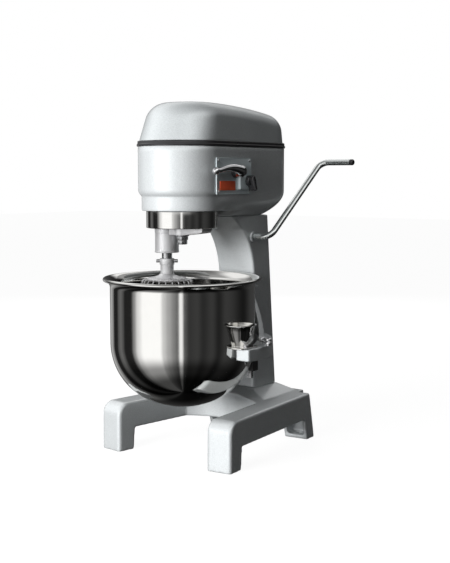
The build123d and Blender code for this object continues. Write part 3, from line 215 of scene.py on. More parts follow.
RED = moulded("label_red_foil", (0.80, 0.12, 0.045), rough=0.35, coat=0.2, depth=0.000004)

CAD_MATERIALS = {
    "cast_paint": SILVER, "cover_paint": SILVER_COVER, "gasket_rubber": GASKET, "polished_steel": MIRROR,
    "chrome": CHROME, "bright_steel": STEEL, "screw_steel": ZINC, "gear_steel": GEAR, "bearing_steel": RACE,
    "motor_alloy": MOTOR, "pulley_alloy": PULLEY, "cast_alloy": CAST, "belt_rubber": BELT,
    "guide_black": GUIDE,
    "plate_grey": PLATE, "label_red": RED, "black_plastic": BLACK, "knob_plastic": KNOB, "bronze": BRONZE,
}
node_slot = {row["node"]: row["material_slot"] for row in frame["record"]["subparts"]}
node_body = {node: body for body, nodes in frame["record"]["behaviour"]["bodies"].items() for node in nodes}
for node_name, cad_object in frame["nodes"].items():
    cad_object.data.materials.clear()
    cad_object.data.materials.append(CAD_MATERIALS[node_slot[node_name]])


# ------------------------------------------------------------------------------------------ mesh helpers
def piece(name, vertices, faces, node, material=None, replaces=True, sharp=40.0, extra=()):
    """A new piece that rides with a CAD node's body, takes its slot's material, and hides the node in its place if
    replaces is set.
    """
    mesh = bpy.data.meshes.new(name)
    mesh.from_pydata([tuple(v) for v in vertices], [], faces)
    return finish_piece(name, mesh, node, material, replaces, sharp, extra)


def finish_piece(name, mesh, node, material=None, replaces=True, sharp=40.0, extra=()):
    bm = bmesh.new()
    bm.from_mesh(mesh)
    bmesh.ops.remove_doubles(bm, verts=bm.verts, dist=0.000002)
    bmesh.ops.recalc_face_normals(bm, faces=bm.faces)
    bm.to_mesh(mesh)
    bm.free()
    mesh.polygons.foreach_set("use_smooth", [True] * len(mesh.polygons))
    mesh.set_sharp_from_angle(angle=radians(sharp))
    mesh.materials.clear()
    mesh.materials.append(material or CAD_MATERIALS[node_slot[node]])
    made = bpy.data.objects.new(name, mesh)
    bpy.context.scene.collection.objects.link(made)
    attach(made, node_body[node])
    if replaces:
        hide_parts(node, *extra)
    return made


def join_parts(parts):
    """Joins (vertices, faces) lists into one."""
    vertices, faces = [], []
    for part_vertices, part_faces in parts:
        start = len(vertices)
        vertices += list(part_vertices)
        faces += [tuple(i + start for i in face) for face in part_faces]
    return vertices, faces


def skin(rings, closed_first=True, closed_last=True, loop=False):
    """Quads between closed rings of equal length, with a flat face on each end."""
    n = len(rings[0])
    vertices = [v for ring in rings for v in ring]
    faces = []
    count = len(rings)
    for k in range(count if loop else count - 1):
        a, b = k * n, ((k + 1) % count) * n
        for i in range(n):
            j = (i + 1) % n
            faces.append((a + i, a + j, b + j, b + i))
    if not loop and closed_first:
        faces.append(tuple(reversed(range(n))))
    if not loop and closed_last:
        faces.append(tuple(range((count - 1) * n, count * n)))
    return vertices, faces


def turned(profile, centre, axis="Z", steps=96, loop=False):
    """A body of revolution. profile is (radius, height); centre is (x, behind, z)."""
    rings = []
    for radius, height in profile:
        ring = []
        for i in range(steps):
            a = 2 * pi * i / steps
            u, v = radius * cos(a), radius * sin(a)
            if axis == "Z":
                ring.append(place(centre[0] + u, centre[1] + v, centre[2] + height))
            elif axis == "X":
                ring.append(place(centre[0] + height, centre[1] + u, centre[2] + v))
            else:
                ring.append(place(centre[0] + v, centre[1] + height, centre[2] + u))
        rings.append(ring)
    return skin(rings, loop=loop)


def arc(centre, radius, start, stop, steps=6):
    """Points on an arc in a flat profile, angles in degrees, both ends included."""
    return [
        (centre[0] + radius * cos(radians(start + (stop - start) * i / steps)),
         centre[1] + radius * sin(radians(start + (stop - start) * i / steps)))
        for i in range(steps + 1)
    ]


def rounded(points, steps=4):
    """A flat profile of (a, b, radius) corners with each corner rounded; ends stay as they are."""
    out = []
    for k, (a, b, r) in enumerate(points):
        if r <= 0 or k in (0, len(points) - 1):
            out.append((a, b))
            continue
        p, q, s = Vector((a, b)), Vector(points[k - 1][:2]), Vector(points[k + 1][:2])
        u, v = (q - p).normalized(), (s - p).normalized()
        half = u.angle(v) / 2
        reach = min(r / math.tan(half), 0.49 * (q - p).length, 0.49 * (s - p).length)
        for i in range(steps + 1):
            t = i / steps
            out.append(tuple((1 - t) ** 2 * (p + u * reach) + 2 * t * (1 - t) * p + t * t * (p + v * reach)))
    return out


def rounded_loop(points, steps=4):
    """As rounded(), for a closed outline."""
    n = len(points)
    ring = [points[-1]] + list(points) + [points[0]]
    out = []
    for k in range(1, n + 1):
        a, b, r = ring[k]
        if r <= 0:
            out.append((a, b))
            continue
        p, q, s = Vector((a, b)), Vector(ring[k - 1][:2]), Vector(ring[k + 1][:2])
        u, v = (q - p).normalized(), (s - p).normalized()
        half = u.angle(v) / 2
        reach = min(r / math.tan(half), 0.49 * (q - p).length, 0.49 * (s - p).length)
        for i in range(steps + 1):
            t = i / steps
            out.append(tuple((1 - t) ** 2 * (p + u * reach) + 2 * t * (1 - t) * p + t * t * (p + v * reach)))
    return out


def tube(points, radius, steps=20, ends=True):
    """A round bar along row points, turned without twist, closed with a flat face at each end when ends is set."""
    rings = []
    direction = (points[1] - points[0]).normalized()
    across = direction.orthogonal().normalized()
    for k, p in enumerate(points):
        ahead = points[min(k + 1, len(points) - 1)] - points[max(k - 1, 0)]
        ahead.normalize()
        across = (across - ahead * across.dot(ahead)).normalized()
        other = ahead.cross(across)
        size = radius[k] if isinstance(radius, (list, tuple)) else radius
        rings.append([p + (across * cos(2 * pi * i / steps) + other * sin(2 * pi * i / steps)) * size
                      for i in range(steps)])
    return skin(rings, ends, ends)


def bent_path(corners, bend, steps=10):
    """Row points along straight runs joined by arcs of one bend radius."""
    out = [corners[0]]
    for k in range(1, len(corners) - 1):
        p = corners[k]
        u, v = (corners[k - 1] - p).normalized(), (corners[k + 1] - p).normalized()
        half = u.angle(v) / 2
        reach = bend / math.tan(half)
        centre = p + (u + v).normalized() * (bend / sin(half))
        start, stop = p + u * reach - centre, p + v * reach - centre
        turn = start.angle(stop)
        for i in range(steps + 1):
            t = i / steps
            out.append(centre + (start * sin((1 - t) * turn) + stop * sin(t * turn)) / sin(turn))
    out.append(corners[-1])
    return out


def prism(outline, base, up, across, along, profile):
    """An outline of (a, b) points raised through (inset, height) steps: a rounded plate or boss.

    base is a row point; across, along and up are row directions."""
    n = len(outline)
    centre = (sum(p[0] for p in outline) / n, sum(p[1] for p in outline) / n)
    normals = []
    for i in range(n):
        a, b = outline[i - 1], outline[(i + 1) % n]
        t = Vector((b[0] - a[0], b[1] - a[1])).normalized()
        normals.append((t.y, -t.x))
    area = sum(outline[i][0] * outline[(i + 1) % n][1] - outline[(i + 1) % n][0] * outline[i][1] for i in range(n))
    sign = 1 if area > 0 else -1
    rings = []
    for inset, height in profile:
        ring = []
        for (a, b), (na, nb) in zip(outline, normals):
            ring.append(base + across * ((a - sign * na * inset) * MM) + along * ((b - sign * nb * inset) * MM)
                        + up * (height * MM))
        rings.append(ring)
    return skin(rings)


def disc_outline(radius, steps=64):
    return [(radius * cos(2 * pi * i / steps), radius * sin(2 * pi * i / steps)) for i in range(steps)]


def hexagon(across_corners, steps=3):
    return rounded_loop([(across_corners * cos(pi * k / 3), across_corners * sin(pi * k / 3), 0.8)
                         for k in range(6)], steps)


# ------------------------------------------------------------------------------------------ castings
def cast_copy(name, node, voxel_mm, rounds, extra=(), material=None):
    """The CAD casting with the softened edges of a real one: remeshed evenly, then relaxed."""
    source = frame["nodes"][node]
    mesh = source.data.copy()
    bm = bmesh.new()
    bm.from_mesh(mesh)
    bmesh.ops.remove_doubles(bm, verts=bm.verts, dist=0.00001)
    bm.to_mesh(mesh)
    bm.free()
    temp = bpy.data.objects.new("temp_" + name, mesh)
    bpy.context.scene.collection.objects.link(temp)
    remesh = temp.modifiers.new("remesh", "REMESH")
    remesh.mode = "VOXEL"
    remesh.voxel_size = voxel_mm * MM
    relax = temp.modifiers.new("relax", "SMOOTH")
    relax.factor = 0.5
    relax.iterations = rounds
    graph = bpy.context.evaluated_depsgraph_get()
    graph.update()
    made_mesh = bpy.data.meshes.new_from_object(temp.evaluated_get(graph))
    made_mesh.name = name
    bpy.data.objects.remove(temp)
    bm = bmesh.new()
    bm.from_mesh(made_mesh)
    bmesh.ops.recalc_face_normals(bm, faces=bm.faces)
    bm.to_mesh(made_mesh)
    bm.free()
    made_mesh.polygons.foreach_set("use_smooth", [True] * len(made_mesh.polygons))
    made_mesh.materials.clear()
    made_mesh.materials.append(material or CAD_MATERIALS[node_slot[node]])
    made = bpy.data.objects.new(name, made_mesh)
    bpy.context.scene.collection.objects.link(made)
    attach(made, node_body[node])
    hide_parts(node, *extra)
    return made


cast_copy("base_casting_finished", "base_casting", 2.3, 5)
cast_copy("column_casting_finished", "column_casting", 2.2, 4)
cast_copy("bowl_yoke_finished", "bowl_yoke", 2.0, 4)

# ------------------------------------------------------------------------------------------ head
HEAD_RADIUS, HEAD_REAR, HEAD_CORNER = 96.0, 285.5, 50.0
NECK_TOP = 530.0
GASKET_TOP, COVER_TOP = 695.0, 780.0
COVER_RADIUS = 93.0
FRONT_STEPS, SIDE_STEPS, CORNER_STEPS, REAR_STEPS = 72, 20, 16, 12


def outline(front, half, rear, corner, shift=0.0):
    """Half-round front easing into straight sides and two rounded rear corners, always the same count."""
    corner = max(0.0, min(corner, half))
    points = []
    for i in range(FRONT_STEPS):
        a = pi + pi * i / FRONT_STEPS
        points.append((front * cos(a), shift + front * sin(a)))
    for i in range(SIDE_STEPS):
        b = (rear - corner) * i / SIDE_STEPS
        ease = min(1.0, b / 60.0)
        ease = ease * ease * (3 - 2 * ease)
        points.append((front + (half - front) * ease, shift + b))
    for i in range(CORNER_STEPS):
        a = pi / 2 * i / CORNER_STEPS
        points.append((half - corner + corner * cos(a), shift + rear - corner + corner * sin(a)))
    for i in range(REAR_STEPS):
        points.append(((half - corner) * (1 - 2 * i / REAR_STEPS), shift + rear))
    for i in range(CORNER_STEPS):
        a = pi / 2 + pi / 2 * i / CORNER_STEPS
        points.append((corner - half + corner * cos(a), shift + rear - corner + corner * sin(a)))
    for i in range(SIDE_STEPS):
        b = (rear - corner) * (1 - i / SIDE_STEPS)
        ease = min(1.0, b / 60.0)
        ease = ease * ease * (3 - 2 * ease)
        points.append((-(front + (half - front) * ease), shift + b))
    return points


def ring_at(points, z):
    return [place(x, b, z) for x, b in points]


def belly(z):
    """How far the head's underside has drawn in at height z."""
    t = max(0.0, (586.0 - z) / 56.0)
    return 43.0 * t ** 2.1


front_profile = [
    (9.2, 545.0), (8.1, 545.5), (7.5, 547.0), (7.5, 552.0), (7.5, 558.0), (7.5, 564.0), (7.5, 570.0),
    (7.5, 574.5),
    (7.1, 576.2), (6.0, 577.6), (4.4, 579.2), (2.9, 581.0), (1.6, 583.2), (0.6, 586.0), (0.1, 589.0),
    (0.0, 592.0),
    (0.0, 610.0), (0.0, 640.0), (0.0, 670.0), (0.0, 682.2), (0.8, 683.0),
]
head_rings = []
lowest = outline(HEAD_RADIUS - 9.2, HEAD_RADIUS - belly(545), HEAD_REAR - belly(545), HEAD_CORNER)
bearing = [atan2(b, x) for x, b in lowest]
for radius, z in ((27.0, 588.0), (80.5, 588.0), (80.5, 546.2), (81.4, 545.0)):
    head_rings.append([place(radius * cos(a), radius * sin(a), z) for a in bearing])
for inset, z in front_profile:
    rear_inset = belly(z) if z < 600 else inset
    head_rings.append(ring_at(outline(
        HEAD_RADIUS - inset, HEAD_RADIUS - rear_inset, HEAD_REAR - rear_inset,
        HEAD_CORNER - 0.4 * rear_inset), z))
for inset, z in ((7.2, 683.0), (8.0, 682.2), (8.0, 600.0), (10.0, 598.0)):
    head_rings.append(ring_at(outline(HEAD_RADIUS - inset, HEAD_RADIUS - inset, HEAD_REAR - inset,
                                      HEAD_CORNER - inset), z))
head_parts = [skin(head_rings)]


def keel_ring(z, shrink):
    inset = belly(z) + shrink
    half, rear, corner = HEAD_RADIUS - inset, HEAD_REAR - inset, HEAD_CORNER - 0.4 * inset
    front = 97.0 + shrink
    points = []
    for cx, cb, start in ((half - corner, front + corner, -90), (half - corner, rear - corner, 0),
                          (corner - half, rear - corner, 90), (corner - half, front + corner, 180)):
        for i in range(18):
            a = radians(start + 90 * i / 17)
            points.append((cx + corner * cos(a), cb + corner * sin(a)))
    return ring_at(points, z)


keel_rings = [keel_ring(z, shrink) for z, shrink in (
    (530.0, 6.0), (530.2, 2.6), (531.2, 0.9), (533.0, 0.0), (536.0, 0.0), (539.0, 0.0), (542.0, 0.0),
    (545.0, 0.0), (548.0, 0.4), (556.0, 1.0))]
head_parts.append(skin(keel_rings))
for x, behind in ((78, 40), (-78, 40), (70, 256), (-70, 256)):
    head_parts.append(turned([(0.01, 0), (8, 0), (8, 74), (0.01, 74)], (x, behind, 598), steps=24))
piece("head_casting_finished", *join_parts(head_parts), "head_casting", sharp=50)

gasket_profile = [
    (11.5, 683.2), (-1.2, 683.2), (-2.2, 683.7), (-2.5, 684.6), (-2.5, 687.2), (-2.2, 688.0), (-1.0, 688.6),
    (-0.8, 689.2), (-0.8, 693.6), (-0.3, 694.6), (0.6, 694.9), (11.5, 694.9),
]
gasket_rings = [ring_at(outline(HEAD_RADIUS - d, HEAD_RADIUS - d, HEAD_REAR - d, HEAD_CORNER - d), z)
                for d, z in gasket_profile]
piece("cover_gasket_finished", *skin(gasket_rings, loop=True), "cover_gasket", sharp=55)


def cover_top(b):
    """Height of the cover along its length: level over the front, then falling to the rear."""
    t = (b + 120.0) / 440.0
    return COVER_TOP - 0.3 - 4.7 * (1 - t) ** 5 - 35.0 * max(0.0, t) ** 2.9


def cover_point_ring(inset, lift, wall_share=None, drop=0.0):
    """One ring of the cover: inset is drawn in from the wall, drop is below the top."""
    points = []
    first = outline(COVER_RADIUS, COVER_RADIUS, HEAD_REAR - 2, HEAD_CORNER)
    for index in range(len(first)):
        z = 740.0
        for _ in range(4):
            lean = (z - GASKET_TOP) / 105.0
            radius = COVER_RADIUS - 9.0 * lean - inset
            rear = (HEAD_REAR - 2) + (244.0 - HEAD_REAR + 2) * lean - inset
            corner = HEAD_CORNER - 4.0 * lean - inset
            x, b = outline_point(index, radius, rear, corner, 32.0 * lean)
            top = cover_top(b) - lift
            z = top - drop if wall_share is None else GASKET_TOP + (top - drop - GASKET_TOP) * wall_share
        points.append(place(x, b, z))
    return points


def outline_point(index, half, rear, corner, shift):
    half = max(0.0, half)
    corner = max(0.0, min(corner, half))
    if index < FRONT_STEPS:
        a = pi + pi * index / FRONT_STEPS
        return half * cos(a), shift + half * sin(a)
    index -= FRONT_STEPS
    if index < SIDE_STEPS:
        return half, shift + (rear - corner) * index / SIDE_STEPS
    index -= SIDE_STEPS
    if index < CORNER_STEPS:
        a = pi / 2 * index / CORNER_STEPS
        return half - corner + corner * cos(a), shift + rear - corner + corner * sin(a)
    index -= CORNER_STEPS
    if index < REAR_STEPS:
        return (half - corner) * (1 - 2 * index / REAR_STEPS), shift + rear
    index -= REAR_STEPS
    if index < CORNER_STEPS:
        a = pi / 2 + pi / 2 * index / CORNER_STEPS
        return corner - half + corner * cos(a), shift + rear - corner + corner * sin(a)
    index -= CORNER_STEPS
    return -half, shift + (rear - corner) * (1 - index / SIDE_STEPS)


RIM = 34.0
cover_rings = []
for d in (84, 70, 52):
    cover_rings.append(cover_point_ring(d, 4.0))
for k in range(7):
    a = radians(90 - 15 * k)
    r = RIM - 4
    cover_rings.append(cover_point_ring(4 + r * (1 - cos(a)), 4.0, drop=r * (1 - sin(a))))
for share in (0.75, 0.5, 0.25, 0.0):
    cover_rings.append(cover_point_ring(4.0, 4.0, share, RIM - 4))
cover_rings.append(cover_point_ring(0.6, 0.0, 0.0, RIM))
for share in (0.012, 0.08, 0.2, 0.35, 0.5, 0.65, 0.8, 0.9):
    cover_rings.append(cover_point_ring(0.0, 0.0, share, RIM))
for k in range(15):
    a = radians(6 * k + 3)
    cover_rings.append(cover_point_ring(RIM * (1 - cos(a)), 0.0, drop=RIM * (1 - sin(a))))
for d in (38, 44, 52, 60, 68, 76, 84, 93):
    cover_rings.append(cover_point_ring(d, 0.0))
piece("head_cover_finished", *skin(cover_rings), "head_cover", sharp=50)

# ------------------------------------------------------------------------------------------ planetary
drip = rounded_loop([
    (75.1, 3.4, 0.5), (73.0, 3.2, 0.5), (73.0, 0.0, 0.6), (78.9, 0.0, 2.2), (78.9, 37.1, 0.8),
    (75.1, 37.1, 0.6)], 5)
piece("drip_ring_finished", *turned(drip, (0, 0, 507), steps=144, loop=True), "drip_ring", sharp=40)

PLANET_X = -45.0
boss = rounded([
    (0.01, 13, 0), (14.0, 13, 0), (14.0, 1.5, 0), (21.2, 1.5, 0.5), (22.0, 0.0, 0.6), (27.0, 0.0, 1.6),
    (27.0, 3.0, 0.3),
    (26.4, 4.0, 0.4), (26.4, 43.0, 1.2), (27.0, 44.5, 0.8), (27.0, 55.0, 0), (27.0, 88, 0.5),
    (0.01, 88, 0)], 4)
carrier_profile = rounded([
    (9.3, 53, 0), (9.3, 0.0, 0), (20.0, 0.0, 1.6), (20.0, 18.0, 2.0), (60, 20.0, 3.0), (64, 19.0, 2.0),
    (74.9, 19.0, 0.8),
    (74.9, 31.0, 0.8), (20.0, 31.0, 1.0), (20.0, 53, 0.6), (9.3, 53, 0)], 4)
arm_side = [(PLANET_X, 21.0), (PLANET_X, 0.2), (14, 0.2), (20, 0.5), (60, 5.2), (66, 6.4), (68.4, 9.0),
            (69, 12), (69, 21.0)]
arm_half = [(-16.9, 1.5), (-16.2, 0.4), (-14.6, 0.0), (14.6, 0.0), (16.2, 0.4), (16.9, 1.5)]
arm_rows = [[place(x, across, 491 + z + (lift if z < 20 else 0)) for x, z in arm_side] for across,
            lift in arm_half]
arm_vertices = [v for row in arm_rows for v in row]
side_count = len(arm_side)
arm_faces = [tuple(range(side_count)), tuple(reversed(range(5 * side_count, 6 * side_count)))]
for k in range(5):
    for i in range(side_count):
        j = (i + 1) % side_count
        arm_faces.append((k * side_count + i, k * side_count + j, (k + 1) * side_count + j,
                          (k + 1) * side_count + i))
piece("planetary_carrier_finished", *join_parts([
    turned(carrier_profile, (0, 0, 491), steps=96, loop=False),
    (arm_vertices, arm_faces),
    turned(boss, (PLANET_X, 0, 451), steps=64),
]), "planetary_carrier", sharp=40)

seal = rounded([(11.9, 1.2, 0), (11.9, 0.2, 0), (20.9, 0.2, 0.4), (20.9, 12.8, 0), (11.9, 12.8, 0),
                (11.9, 1.2, 0)], 2)
piece("agitator_bearings_finished", *join_parts([
    turned(seal, (PLANET_X, 0, 451), steps=48), turned(seal, (PLANET_X, 0, 526), steps=48)]),
    "agitator_bearings", sharp=40)

shaft_profile = rounded([
    (0.01, 0, 0), (11.5, 0, 1.2), (11.5, 20, 0), (11.5, 154, 0.8), (0.01, 154, 0)], 4)
piece("agitator_shaft_finished", *turned(shaft_profile, (PLANET_X, 0, 414), steps=48), "agitator_shaft",
      sharp=40)
pin_along = Vector((cos(radians(38)), sin(radians(38)), 0))
pin_rings = []
for radius, along in ((2.8, -24.0), (3.5, -23.8), (3.9, -23.1), (3.9, -17), (3.9, 17), (3.9, 23.1),
                      (3.5, 23.8), (2.8, 24.0)):
    middle = place(PLANET_X, 0, 432) + pin_along * (along * MM)
    across = pin_along.cross(Z_DIR)
    pin_rings.append([middle + (across * cos(2 * pi * i / 32) + Z_DIR * sin(2 * pi * i / 32)) * (radius * MM)
                      for i in range(32)])
piece("bayonet_pin_finished", *skin(pin_rings), "bayonet_pin", sharp=40)

hub_profile = rounded([
    (0.01, 11, 0), (11.6, 11, 0), (11.6, 33.4, 0.5), (16.5, 33.4, 1.2), (16.5, 20.6, 1.4),
    (14.7, 19.2, 1.0), (14.7, 8.0, 2.5),
    (14.75, 0.1, 0), (0.01, 0.1, 0)], 4)
piece("whisk_hub_finished", *turned(hub_profile, (PLANET_X, 0, 404), steps=64), "whisk_hub", sharp=40)
disc_profile = rounded([
    (0.01, 0, 0), (42.4, 0.0, 0.6), (43.9, 1.4, 0.8), (43.9, 5.4, 0.9), (42.0, 6.6, 1.0), (30.0, 8.6, 4.0),
    (19.0, 12.4, 3.0),
    (15.6, 15.9, 1.0), (0.01, 15.9, 0)], 6)
piece("whisk_disc_finished", *turned(disc_profile, (PLANET_X, 0, 388), steps=112), "whisk_disc", sharp=40)

WIRE_LOOPS, WIRE_RADIUS = 12, 1.25
BALL_Z, SHOULDER, FOOT_Z, BEND = 220.0, 56.0, 385.5, 6.0
wire_parts = []
for loop in range(WIRE_LOOPS):
    ball = 76.0 - 1.5 * loop
    across = Vector((cos(pi * (loop + 0.5) / WIRE_LOOPS), sin(pi * (loop + 0.5) / WIRE_LOOPS), 0))
    centre = place(PLANET_X, 0, 0)
    rise = FOOT_Z - BALL_Z
    big = ((ball - SHOULDER) ** 2 + rise ** 2) / (2 * (ball - SHOULDER))
    lean = asin(rise / big)
    bend_x, bend_z = SHOULDER - BEND * cos(lean), FOOT_Z - BEND * sin(lean)
    half_path = [(38.0, bend_z + BEND), (44.0, bend_z + BEND)]
    for i in range(9):
        a = pi / 2 + (lean - pi / 2) * i / 8
        half_path.append((bend_x + BEND * cos(a), bend_z + BEND * sin(a)))
    for i in range(1, 17):
        a = lean * (1 - i / 16)
        half_path.append((ball - big + big * cos(a), BALL_Z + big * sin(a)))
    for i in range(1, 17):
        a = -pi / 2 * i / 16
        half_path.append((ball * cos(a), BALL_Z + ball * sin(a)))
    path = half_path + [(-r, z) for r, z in reversed(half_path[:-1])]
    points = [centre + across * (r * MM) + Z_DIR * (z * MM) for r, z in path]
    wire_parts.append(tube(points, WIRE_RADIUS * MM, 10))
piece("whisk_wires_finished", *join_parts(wire_parts), "whisk_wires", WIRE, sharp=60)

nut_profile = [(1.2, 0.0), (0.4, 0.4), (0.0, 1.2), (0.0, 7.8), (0.4, 8.6), (1.2, 9.0)]
lock_profile = [(1.4, 0.0), (0.5, 0.4), (0.0, 1.3), (0.0, 8.4), (0.4, 9.2), (0.9, 9.5)]
piece("carrier_nut_finished", *join_parts([
    prism(hexagon(13.4), place(0, 0, 480), Z_DIR, X_DIR, Y_DIR, nut_profile),
    prism(hexagon(11.5), place(0, 0, 470.5), Z_DIR, X_DIR, Y_DIR, lock_profile)]), "carrier_nut", sharp=30)
washer = rounded([(9.3, 2, 0), (9.3, 0, 0), (14.9, 0, 0.4), (14.9, 2, 0.4), (9.3, 2, 0)], 3)
piece("carrier_washer_finished", *turned(washer, (0, 0, 489), steps=48), "carrier_washer", sharp=40)
shaft_line = [(0.01, 0.0), (8.0, 0.0), (8.9, 0.9), (8.9, 28.5), (15.0, 28.5), (15.0, 210.5), (0.01, 210.5)]
piece("main_shaft_finished", *turned(shaft_line, (0, 0, 471.5), steps=40), "main_shaft", sharp=40)

# ------------------------------------------------------------------------------------------ bowl
BOWL_RADIUS, BOWL_BOTTOM, CROWN_RADIUS, CORNER_RADIUS = 159.5, 112.5, 190.0, 140.0
crown = asin((BOWL_RADIUS - CORNER_RADIUS) / (CROWN_RADIUS - CORNER_RADIUS))
crown_z = BOWL_BOTTOM + CROWN_RADIUS
corner_r = BOWL_RADIUS - CORNER_RADIUS
corner_z = crown_z - (CROWN_RADIUS - CORNER_RADIUS) * cos(crown)


def bowl_line(inset, lip):
    line = []
    for i in range(17):
        a = -pi / 2 + crown * i / 16
        line.append(((CROWN_RADIUS - inset) * cos(a), crown_z + (CROWN_RADIUS - inset) * sin(a)))
    for i in range(1, 33):
        a = crown - pi / 2 + (pi / 2 - crown) * i / 32
        line.append((corner_r + (CORNER_RADIUS - inset) * cos(a),
                     corner_z + (CORNER_RADIUS - inset) * sin(a)))
    for z in (300, 340, 365, 377):
        line.append((BOWL_RADIUS - inset, z))
    return line + lip


outer_lip = [(159.7, 380.0), (160.6, 383.0), (162.4, 386.2), (164.8, 389.0), (167.0, 391.2)]
rim = arc((171.0, 395.0), 4.0, 225, 495, 14)
inner_lip = [(166.6, 396.6), (164.4, 393.8), (161.8, 390.4), (159.4, 386.6), (158.0, 382.8), (157.5, 379.4)]
inner = [(max(r, 0.01), z) for r, z in reversed(bowl_line(2.0, []))]
outer = [(max(r, 0.01), z) for r, z in bowl_line(0.0, outer_lip)]
bowl_profile = outer + rim[:-1] + inner_lip + inner
piece("bowl_finished", *turned(bowl_profile, (0, 0, 0), steps=160), "bowl", sharp=60)

# ------------------------------------------------------------------------------------------ bowl ears
EAR_X, EAR_BEHIND, SEAT_Z = 163.0, -6.0, 258.0
EAR_FOOT_Z = SEAT_Z + 3.0


def ear_arc(radius, sign, steps=28):
    """The part of a circle round the ear's centre that lies outside the bowl's wall."""
    cx, cb = EAR_X, EAR_BEHIND
    reach = BOWL_RADIUS - 0.4
    d = sqrt(cx * cx + cb * cb)
    toward = atan2(-cb, -cx)
    cosine = (radius * radius + d * d - reach * reach) / (2 * radius * d)
    half = math.acos(max(-1.0, min(1.0, cosine)))
    points = []
    for i in range(steps + 1):
        a = toward + half + (2 * pi - 2 * half) * i / steps
        points.append((sign * (cx + radius * cos(a)), cb + radius * sin(a)))
    return points


def ear_parts(sign):
    profile_out = [(15.0, EAR_FOOT_Z), (18.6, 271.0), (23.0, 283.0), (27.4, 295.0), (31.0, 303.8),
                   (33.4, 306.4),
                   (35.0, 306.6), (35.2, 307.3), (35.0, 308.0), (31.0, 308.0)]
    profile_in = [(29.6, 306.6), (28.6, 303.0), (25.2, 293.6), (20.8, 281.6), (16.4, 269.6), (13.2, 261.0)]
    rows = [ear_arc(r, sign) for r, z in profile_out + profile_in]
    heights = [z for r, z in profile_out + profile_in]
    n = len(rows[0])
    vertices = [place(x, b, z) for row, z in zip(rows, heights) for x, b in row]
    faces = []
    count = len(rows)
    for k in range(count):
        a, b = k * n, ((k + 1) % count) * n
        for i in range(n - 1):
            faces.append((a + i, a + i + 1, b + i + 1, b + i))
    faces.append(tuple(k * n for k in range(count)))
    faces.append(tuple(k * n + n - 1 for k in reversed(range(count))))
    # foot plate, its inner edge following the bowl
    low, high, back, ahead = 155.0, EAR_X + 26.0, EAR_BEHIND + 33.0, EAR_BEHIND - 27.0
    edge = rounded_loop([
        (low + 3.4, ahead, 0.5), (high, ahead, 8), (high, back, 8), (low + 2.0, back, 0.5),
        (low + 4.4, 20.0, 0),
        (low + 4.6, 6.0, 0), (low + 4.7, -8.0, 0), (low + 4.2, -20.0, 0)], 6)
    plate_part = prism([(sign * a, b) for a, b in edge], place(0, 0, SEAT_Z), Z_DIR, X_DIR, Y_DIR,
                       [(0.5, 0.0), (0.0, 0.5), (0.0, 2.5), (0.5, 3.0)])
    # weld bead where the plate meets the cone
    bead = []
    for i in range(29):
        x, b = ear_arc(15.2, sign)[i]
        bead.append(place(x, b, EAR_FOOT_Z + 0.6))
    return [(vertices, faces), plate_part, tube(bead, 1.5 * MM, 8)]


piece("bowl_ears_finished", *join_parts(ear_parts(1) + ear_parts(-1)), "bowl_ears", sharp=40)

# ------------------------------------------------------------------------------------------ yoke fittings
PIN_X, PIN_BEHIND = 180.0, -8.0
CLAMP_X, CLAMP_BEHIND, CLAMP_Z = 170.0, 61.0, 265.0
pin_shape = rounded([
    (0.01, 224, 0), (1.6, 224, 0.8), (5.9, 232, 1.0), (5.9, 266, 0.5), (4.2, 268, 0.8), (0.01, 268, 0)], 4)
piece("locating_pins_finished", *join_parts([
    turned(pin_shape, (PIN_X, PIN_BEHIND, 0), steps=36),
    turned(pin_shape, (-PIN_X, PIN_BEHIND, 0), steps=36)]),
    "locating_pins", sharp=40)


def clamp_part(sign):
    closed = atan2(-44.4, 15.5)
    swing = closed + radians(35.0)
    length = 47.0
    tip = (CLAMP_X + length * cos(swing), CLAMP_BEHIND + length * sin(swing))
    u = Vector((cos(swing), sin(swing)))
    v = Vector((-u.y, u.x))
    eye, foot = Vector((CLAMP_X, CLAMP_BEHIND)), Vector(tip)
    shape = []
    for i in range(17):
        a = pi / 2 + pi * i / 16
        shape.append(eye + u * (8.9 * cos(a)) + v * (8.9 * sin(a)))
    shape.append(eye + u * 13 - v * 6.2)
    shape.append(foot - u * 10 - v * 5.6)
    for i in range(17):
        a = -pi / 2 + pi * i / 16
        shape.append(foot + u * (6.9 * cos(a)) + v * (6.9 * sin(a)))
    shape.append(foot - u * 10 + v * 5.6)
    shape.append(eye + u * 13 + v * 6.2)
    outline_points = [(sign * p.x, p.y) for p in shape]
    arm = prism(outline_points, place(0, 0, CLAMP_Z), Z_DIR, X_DIR, Y_DIR,
                [(0.9, 0.0), (0.2, 0.3), (0.0, 0.9), (0.0, 3.6), (0.3, 4.2), (1.0, 4.5)])
    pad = rounded([(0.01, 261.4, 0), (4.9, 261.4, 0.8), (4.9, 268, 0), (0.01, 268, 0)], 4)
    grip = rounded([(0.01, 269, 0), (4.2, 269, 0), (4.4, 271.0, 0.8), (6.4, 273.4, 1.6), (6.4, 276.6, 1.8),
                    (3.6, 278.4, 1.5),
                    (0.01, 278.5, 0)], 5)
    return [arm, turned(pad, (sign * tip[0], tip[1], 0), steps=32),
            turned(grip, (sign * tip[0], tip[1], 0), steps=32)]


piece("bowl_clamp_right_finished", *join_parts(clamp_part(1)), "bowl_clamp_right", CHROME, sharp=40)
piece("bowl_clamp_left_finished", *join_parts(clamp_part(-1)), "bowl_clamp_left", CHROME, sharp=40)

